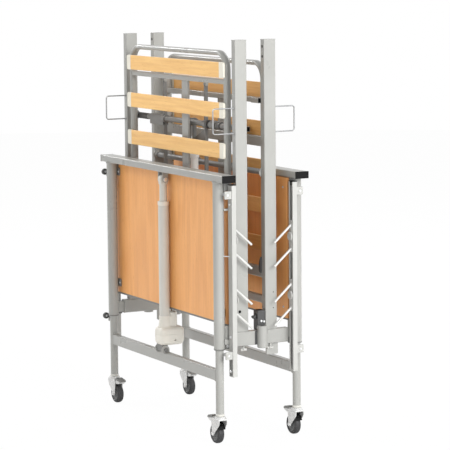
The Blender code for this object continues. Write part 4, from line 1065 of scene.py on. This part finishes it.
def side_frames():
    """Side members with ties, bearings, hinge lugs and drive shelf, and the wire retaining loops."""
    for half, facing in ENDS.items():
        y = HALF_Y[half]
        tie_y = y - facing * 0.0115
        shaft_y = y - facing * SHAFT_OFFSET
        hinge_y = y + facing * SECTION_OFFSET
        parts = []
        loops = []
        plugs = []
        covers = []
        for level, height in ((HINGE_Z, 0.019), (POST_BOTTOM + 0.107, 0.0135)):
            low = (-POST_INNER_X, tie_y - 0.011, level - height)
            high = (POST_INNER_X, tie_y + 0.011, level + height)
            parts.append(rolled_tube(low, high, ACROSS, 0.0035))
            for side in (LEFT, RIGHT):
                bead_low = (side * 0.4335, tie_y - 0.0123, level - height - 0.0013)
                bead_high = (side * POST_INNER_X, tie_y + 0.0123, level + height + 0.0013)
                parts.append(rounded_block(bead_low, bead_high, 0.0016))
        lug_tip = 0.0 if facing > 0 else 180.0
        lug = [
            (tie_y, HINGE_Z - 0.013),
            (tie_y, HINGE_Z + 0.013),
            *arc((hinge_y, HINGE_Z), 0.013, lug_tip + 90.0 * facing, lug_tip - 90.0 * facing),
        ]
        boss = [(0.0, 0.0200), (0.0040, 0.0200), (0.0050, 0.0188), (0.0050, 0.0155), (0.0130, 0.0148)]
        cover_y = tie_y - facing * 0.0108 + max(0.0, -facing) * 0.006
        for side in (LEFT, RIGHT):
            x = side * LEG_X
            post, holes = side_post(x, y, facing)
            parts.append(post)
            plugs += holes
            parts.append(side_plate(lug, 0.3725, 0.006, side))
            bearing = (side * POST_INNER_X, shaft_y, SHAFT_Z[half])
            parts.append(turned(boss, bearing, ACROSS * -side))
            cover = [(side * across, upward) for across, upward in HINGE_COVER]
            covers.append(standing_plate(cover, cover_y, 0.006))
            loops.extend(wire_loop(x, y + facing * POST_HALF[1], facing))
        shelf_end = shaft_y - facing * 0.040
        shelf = (DRIVE_X[half] - 0.030, tie_y, 0.6313), (DRIVE_X[half] + 0.030, shelf_end, 0.6373)
        parts.append(rounded_block(*shelf, 0.001))
        fit(joined(*parts), f"{half}_side_members", f"{half}_half", "grey_coat", f"{half}_side_frame")
        fit(joined(*loops), f"{half}_wire_loops", f"{half}_half", "bright_wire")
        fit(joined(*plugs), f"{half}_hole_plugs", f"{half}_half", "black_plastic")
        fit(joined(*covers), f"{half}_hinge_covers", f"{half}_half", "dark_coat_and_shade")


def section_tube(y, top):
    """The flat oval tube bent round a section: up one side, across and down the other."""
    foot = HINGE_Z - 0.0100
    rise = UP * (top - SECTION_BEND - foot)
    tube = bent_u((-SECTION_X, y, foot), rise, ACROSS, 2 * SECTION_X, SECTION_BEND, 0.0100, 32, 14)
    pick_only(tube)
    enter_edit()
    bpy.ops.transform.resize(value=(1.0, 1.4, 1.0), center_override=(0.0, y, 0.0))
    leave_edit()
    return tube


def sections():
    """Hinged sections: bent tube, cross bars, grooved spine and square stubs with their plugs."""
    for half, facing in ENDS.items():
        section = SECTIONS[half]
        y = HALF_Y[half] + facing * SECTION_OFFSET
        parts = [section_tube(y, section["top"])]
        plugs = []
        low_bar = section["spine_foot"]
        top_bar = section["bars"][0][0]
        for level, height in section["bars"]:
            bar = (-SECTION_X, y - 0.010, level - height), (SECTION_X, y + 0.010, level + height)
            parts.append(rolled_tube(*bar, ACROSS, 0.003))
        for left, right, back, front, rounding, steps in SPINE:
            strip = (left, y + back, low_bar), (right, y + front, top_bar)
            parts.append(rounded_block(*strip, rounding, steps))
        if half == "head":
            for stub_x, stub_y, stub_z in ((0.3940, y - 0.0185, 1.2383), (0.2680, y - 0.0020, 1.1250)):
                stub_low = (stub_x - 0.055, stub_y - 0.0095, stub_z - 0.0095)
                stub_high = (stub_x, stub_y + 0.0095, stub_z + 0.0095)
                parts.append(rolled_tube(stub_low, stub_high, ACROSS, 0.002, (ACROSS,), 0.0015, 0.004))
                plug_low = (stub_x - 0.004, stub_y - 0.0080, stub_z - 0.0080)
                plug_high = (stub_x - 0.0004, stub_y + 0.0080, stub_z + 0.0080)
                plugs.append(rounded_block(plug_low, plug_high, 0.0010))
        fit(joined(*parts), f"{half}_section_tubes", f"{half}_section", "grey_coat", section["node"])
        if plugs:
            fit(joined(*plugs), f"{half}_stub_plugs", f"{half}_section", "black_plastic")


def slats():
    """Beech slats with white end caps, which sit on the section tubes."""
    for half, facing in ENDS.items():
        section = SECTIONS[half]
        back = HALF_Y[half] + facing * SLAT_SEAT
        front = back + facing * SLAT_THICKNESS
        for number in range(1, 6):
            z = section["slat_top"] - (number - 1) * section["slat_pitch"]
            low, high = z - SLAT_HALF_HEIGHT, z + SLAT_HALF_HEIGHT
            slat = rounded_block((-SLAT_X, back, low), (SLAT_X, front, high), 0.0020)
            node = f"{half}_slat_{number}"
            fit(slat, f"{node}_board", f"{half}_section", "slat_wood", node)
            # The inner faces get the deeper beech: partly their rawer back, partly painted shade.
            paint_faces(slat, "slat_back_and_shade", lambda middle, normal: normal.y * facing < -0.7)
            outline = [
                (0.369, z - 0.0285),
                *arc((SLAT_X, z - 0.0205), 0.008, 270.0, 360.0, 5),
                *arc((SLAT_X, z + 0.0205), 0.008, 0.0, 90.0, 5),
                (0.369, z + 0.0285),
            ]
            cap_y = max(back - facing * 0.0003, front + facing * 0.0010)
            right_cap = standing_plate(outline, cap_y, 0.0093, 0.0016)
            caps = joined(right_cap, mirrored(right_cap, -1.0, 1.0))
            fit(caps, f"{node}_caps", f"{half}_section", "cap_white")


def section_drives():
    """Lifting shafts with arms and lever, and the drives with their push rods that turn them."""
    for half, facing in ENDS.items():
        x = DRIVE_X[half]
        outward = 1.0 if x > 0 else -1.0
        shaft_z = SHAFT_Z[half]
        shaft_y = HALF_Y[half] - facing * SHAFT_OFFSET
        rod_y = shaft_y - facing * LEVER_LENGTH
        arm_top = shaft_z + ARM_REACH[half] - 0.007
        arm_foot = shaft_z - ARM_TAIL[half] + 0.007
        shaft = [round_bar((-0.4362, shaft_y, shaft_z), (0.4362, shaft_y, shaft_z), 0.0105, 0.001)]
        rollers = []
        arm = [
            *arc((shaft_y, arm_foot), 0.0070, 180.0, 360.0),
            *arc((shaft_y, arm_top), 0.0070, 0.0, 180.0),
        ]
        for side in (LEFT, RIGHT):
            arm_x = side * 0.170
            shaft.append(side_plate(arm, 0.166, 0.008, side))
            hub = (arm_x - 0.012, shaft_y, shaft_z), (arm_x + 0.012, shaft_y, shaft_z)
            shaft.append(round_bar(*hub, 0.0155, 0.001))
            roller = (arm_x - 0.009, shaft_y, arm_top), (arm_x + 0.009, shaft_y, arm_top)
            rollers.append(round_bar(*roller, 0.0068, 0.0012, 32))
        near = x + outward * 0.011
        to_rod = 0.0 if rod_y > shaft_y else 180.0
        lever = [
            *arc((shaft_y, shaft_z), 0.0165, to_rod + 90.0, to_rod + 270.0),
            *arc((rod_y, shaft_z), 0.0100, to_rod + 270.0, to_rod + 450.0),
        ]
        shaft.append(side_plate(lever, abs(near), 0.008, outward))
        pin = (near + outward * 0.0075, rod_y, shaft_z), (x - outward * 0.008, rod_y, shaft_z)
        shaft.append(round_bar(*pin, 0.0050))
        if half == "foot":
            gusset = [(0.167, 1.128), (0.167, 1.060), (0.036, 1.052), (0.036, 1.068)]
            shaft.append(standing_plate(gusset, shaft_y + 0.0025, 0.005))
            rib = (0.030, shaft_y - 0.0060, 1.050), (0.040, shaft_y + 0.0060, shaft_z)
            shaft.append(rounded_block(*rib, 0.0015))
        tube_top = shaft_z - 0.124
        housing_low = (x - 0.040, rod_y - 0.024, DRIVE_BOTTOM)
        housing_high = (x + 0.040, rod_y + 0.024, DRIVE_TOP)
        shells = split_housing(housing_low, housing_high, 0.010, 0.6900)
        can = [(0.0, 0.0210), (0.104, 0.0210), (0.108, 0.0192), (0.110, 0.0150)]
        motor = turned(can, (x + outward * 0.040, rod_y, 0.6476))
        guide = [(0.0, 0.0175), (0.010, 0.0175), (0.012, 0.0145), (tube_top - 0.743, 0.0145)]
        guide += [(tube_top - 0.740, 0.0178), (tube_top - 0.7285, 0.0178), (tube_top - 0.727, 0.0160)]
        tube = turned(guide, (x, rod_y, 0.727))
        rod = round_bar((x, rod_y, tube_top - 0.100), (x, rod_y, shaft_z - 0.008), 0.0088, 0.001, 32)
        eye = round_bar((x - 0.006, rod_y, shaft_z), (x + 0.006, rod_y, shaft_z), 0.0130, 0.0012)
        drill(eye, (x - 0.006, rod_y, shaft_z), ACROSS, 0.0066, 0.014)
        # The turning shaft with its arms and lever is drawn in the darker grey: painted shade inside the
        # bed, partly a darker steel.
        fit(joined(*shaft), f"{half}_turning_shaft", f"{half}_shaft", "mid_coat_and_shade", f"{half}_lift_shaft")
        fit(joined(*rollers), f"{half}_arm_rollers", f"{half}_shaft", "grey_coat")
        housing = joined(*shells)
        fit(housing, f"{half}_drive_housing", f"{half}_half", "cream_plastic", f"{half}_section_drive")
        # The guide tube gets the whiter copy of the cream plastic: painted light.
        fit(tube, f"{half}_drive_guide", f"{half}_half", "guide_white_painted_light")
        fit(motor, f"{half}_drive_motor", f"{half}_half", "dark_coat_and_shade")
        fit(joined(rod, eye), f"{half}_drive_rod", f"{half}_rod", "mid_coat_and_shade", f"{half}_push_rod")
    axis_y, axis_z = HALF_Y["foot"] + SHAFT_OFFSET, SHAFT_Z["foot"]

    def on_foot_shaft(left, right, radius, chamfer):
        """A round piece on the axis of the foot half's shaft."""
        return round_bar((left, axis_y, axis_z), (right, axis_y, axis_z), radius, chamfer)

    collars = joined(
        on_foot_shaft(-0.4205, -0.3120, 0.0120, 0.0010),
        on_foot_shaft(0.2700, 0.2950, 0.0140, 0.0015),
        on_foot_shaft(0.1860, 0.1990, 0.0165, 0.0015),
    )
    low, high = (-0.2830, axis_y - 0.0115, 1.1180), (-0.1660, axis_y + 0.0115, 1.1580)
    block = rounded_block(low, high, 0.003)
    fit(collars, "foot_shaft_collars", "foot_shaft", "dark_coat_and_shade")
    sleeve = on_foot_shaft(0.2150, 0.2560, 0.0165, 0.0015)
    fit(sleeve, "foot_shaft_sleeve", "foot_shaft", "mid_coat_and_shade")
    fit(block, "foot_shaft_block", "foot_shaft", "mid_coat_and_shade")
    # The block's end towards +X is painted dark: painted shade.
    paint_faces(block, "dark_coat_and_shade", lambda middle, normal: normal.x > 0.7)


def studio_floor():
    """A pale floor that keeps the shadow and looks white to the camera."""
    floor = disc(96, 14.0, (0.0, 0.0, -0.0005))
    floor.name = "studio_floor"
    material = bpy.data.materials.new("studio_floor")
    material.use_nodes = True
    tree = material.node_tree
    paint = tree.nodes["Principled BSDF"]
    paint.inputs["Base Color"].default_value = FLOOR_TONE
    paint.inputs["Roughness"].default_value = 0.9
    seen = Wire(tree).node("ShaderNodeLightPath", output="Is Camera Ray")
    glow = seen.node("ShaderNodeEmission", None, {"Color": WHITE, "Strength": 1.0})
    painted = Wire(tree, paint.outputs[0])
    blended = seen.node("ShaderNodeMixShader", None, {0: seen * FLOOR_GLOW, 1: painted, 2: glow})
    tree.links.new(blended.socket, tree.nodes["Material Output"].inputs["Surface"])
    floor.data.materials.append(material)


def studio_surround():
    """A white world that lights softly and shows full white where it is seen or mirrored."""
    world = bpy.data.worlds.new("white_studio")
    bpy.context.scene.world = world
    world.use_nodes = True
    tree = world.node_tree
    plain = Wire(tree, tree.nodes["Background"].outputs[0])
    tree.nodes["Background"].inputs["Color"].default_value = WHITE
    tree.nodes["Background"].inputs["Strength"].default_value = SURROUND_STRENGTH
    first, *others = (plain.node("ShaderNodeLightPath", output=kind) for kind in RAY_KINDS)
    direct = sum(others, first)
    white = plain.node("ShaderNodeBackground", None, {"Color": WHITE, "Strength": 1.0})
    capped = direct.node("ShaderNodeMath", {"operation": "MINIMUM"}, {0: direct, 1: 1.0})
    blended = plain.node("ShaderNodeMixShader", None, {0: capped, 1: plain, 2: white})
    tree.links.new(blended.socket, tree.nodes["World Output"].inputs["Surface"])


def studio_lamps():
    """Soft round lamps that all look at the middle of the bed."""
    for name, place, size, power in LAMPS:
        lamp = bpy.data.lights.new(name, "AREA")
        lamp.shape = "DISK"
        lamp.size = size
        lamp.energy = power
        holder = bpy.data.objects.new(name, lamp)
        bpy.context.scene.collection.objects.link(holder)
        aim = (LAMP_AIM - Vector(place)).to_track_quat("-Z", "Y").to_matrix().to_4x4()
        holder.matrix_world = Matrix.Translation(place) @ aim


def photo_camera():
    """The camera, from its turn, distance, focus and picture centre."""
    azimuth, elevation, roll = (radians(angle) for angle in CAMERA_TURN)
    ahead = Vector((-sin(azimuth) * cos(elevation), cos(azimuth) * cos(elevation), -sin(elevation)))
    level = Vector((cos(azimuth), sin(azimuth), 0.0))
    upright = level.cross(ahead)
    right = level * cos(roll) + upright * sin(roll)
    over = upright * cos(roll) - level * sin(roll)
    place = Vector((0.0, 0.0, CAMERA_TARGET_Z)) - ahead * CAMERA_DISTANCE
    lens = bpy.data.cameras.new("photo_camera")
    lens.sensor_width = SENSOR_WIDTH
    lens.lens = SENSOR_WIDTH * CAMERA_FOCUS_PIXELS / IMAGE_PIXELS
    lens.shift_x = 0.5 - CAMERA_CENTRE[0] / IMAGE_PIXELS
    lens.shift_y = CAMERA_CENTRE[1] / IMAGE_PIXELS - 0.5
    lens.clip_end = 60.0
    camera = bpy.data.objects.new("photo_camera", lens)
    bpy.context.scene.collection.objects.link(camera)
    turn = Matrix((right, over, -ahead)).transposed().to_4x4()
    camera.matrix_world = Matrix.Translation(place) @ turn
    bpy.context.scene.camera = camera
    bpy.context.scene.view_settings.view_transform = "Standard"


leg_frames()
top_frames()
bar_caps()
end_boards()
lift_drives()
castors()
guide_rails()
rail_sliders()
transport_bars()
side_frames()
sections()
slats()
section_drives()
for screw in ("foot_lead_screw", "head_lead_screw"):
    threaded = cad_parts[screw].data
    threaded.materials.clear()
    threaded.materials.append(FINISHES["zinc"])
studio_floor()
studio_surround()
studio_lamps()
photo_camera()
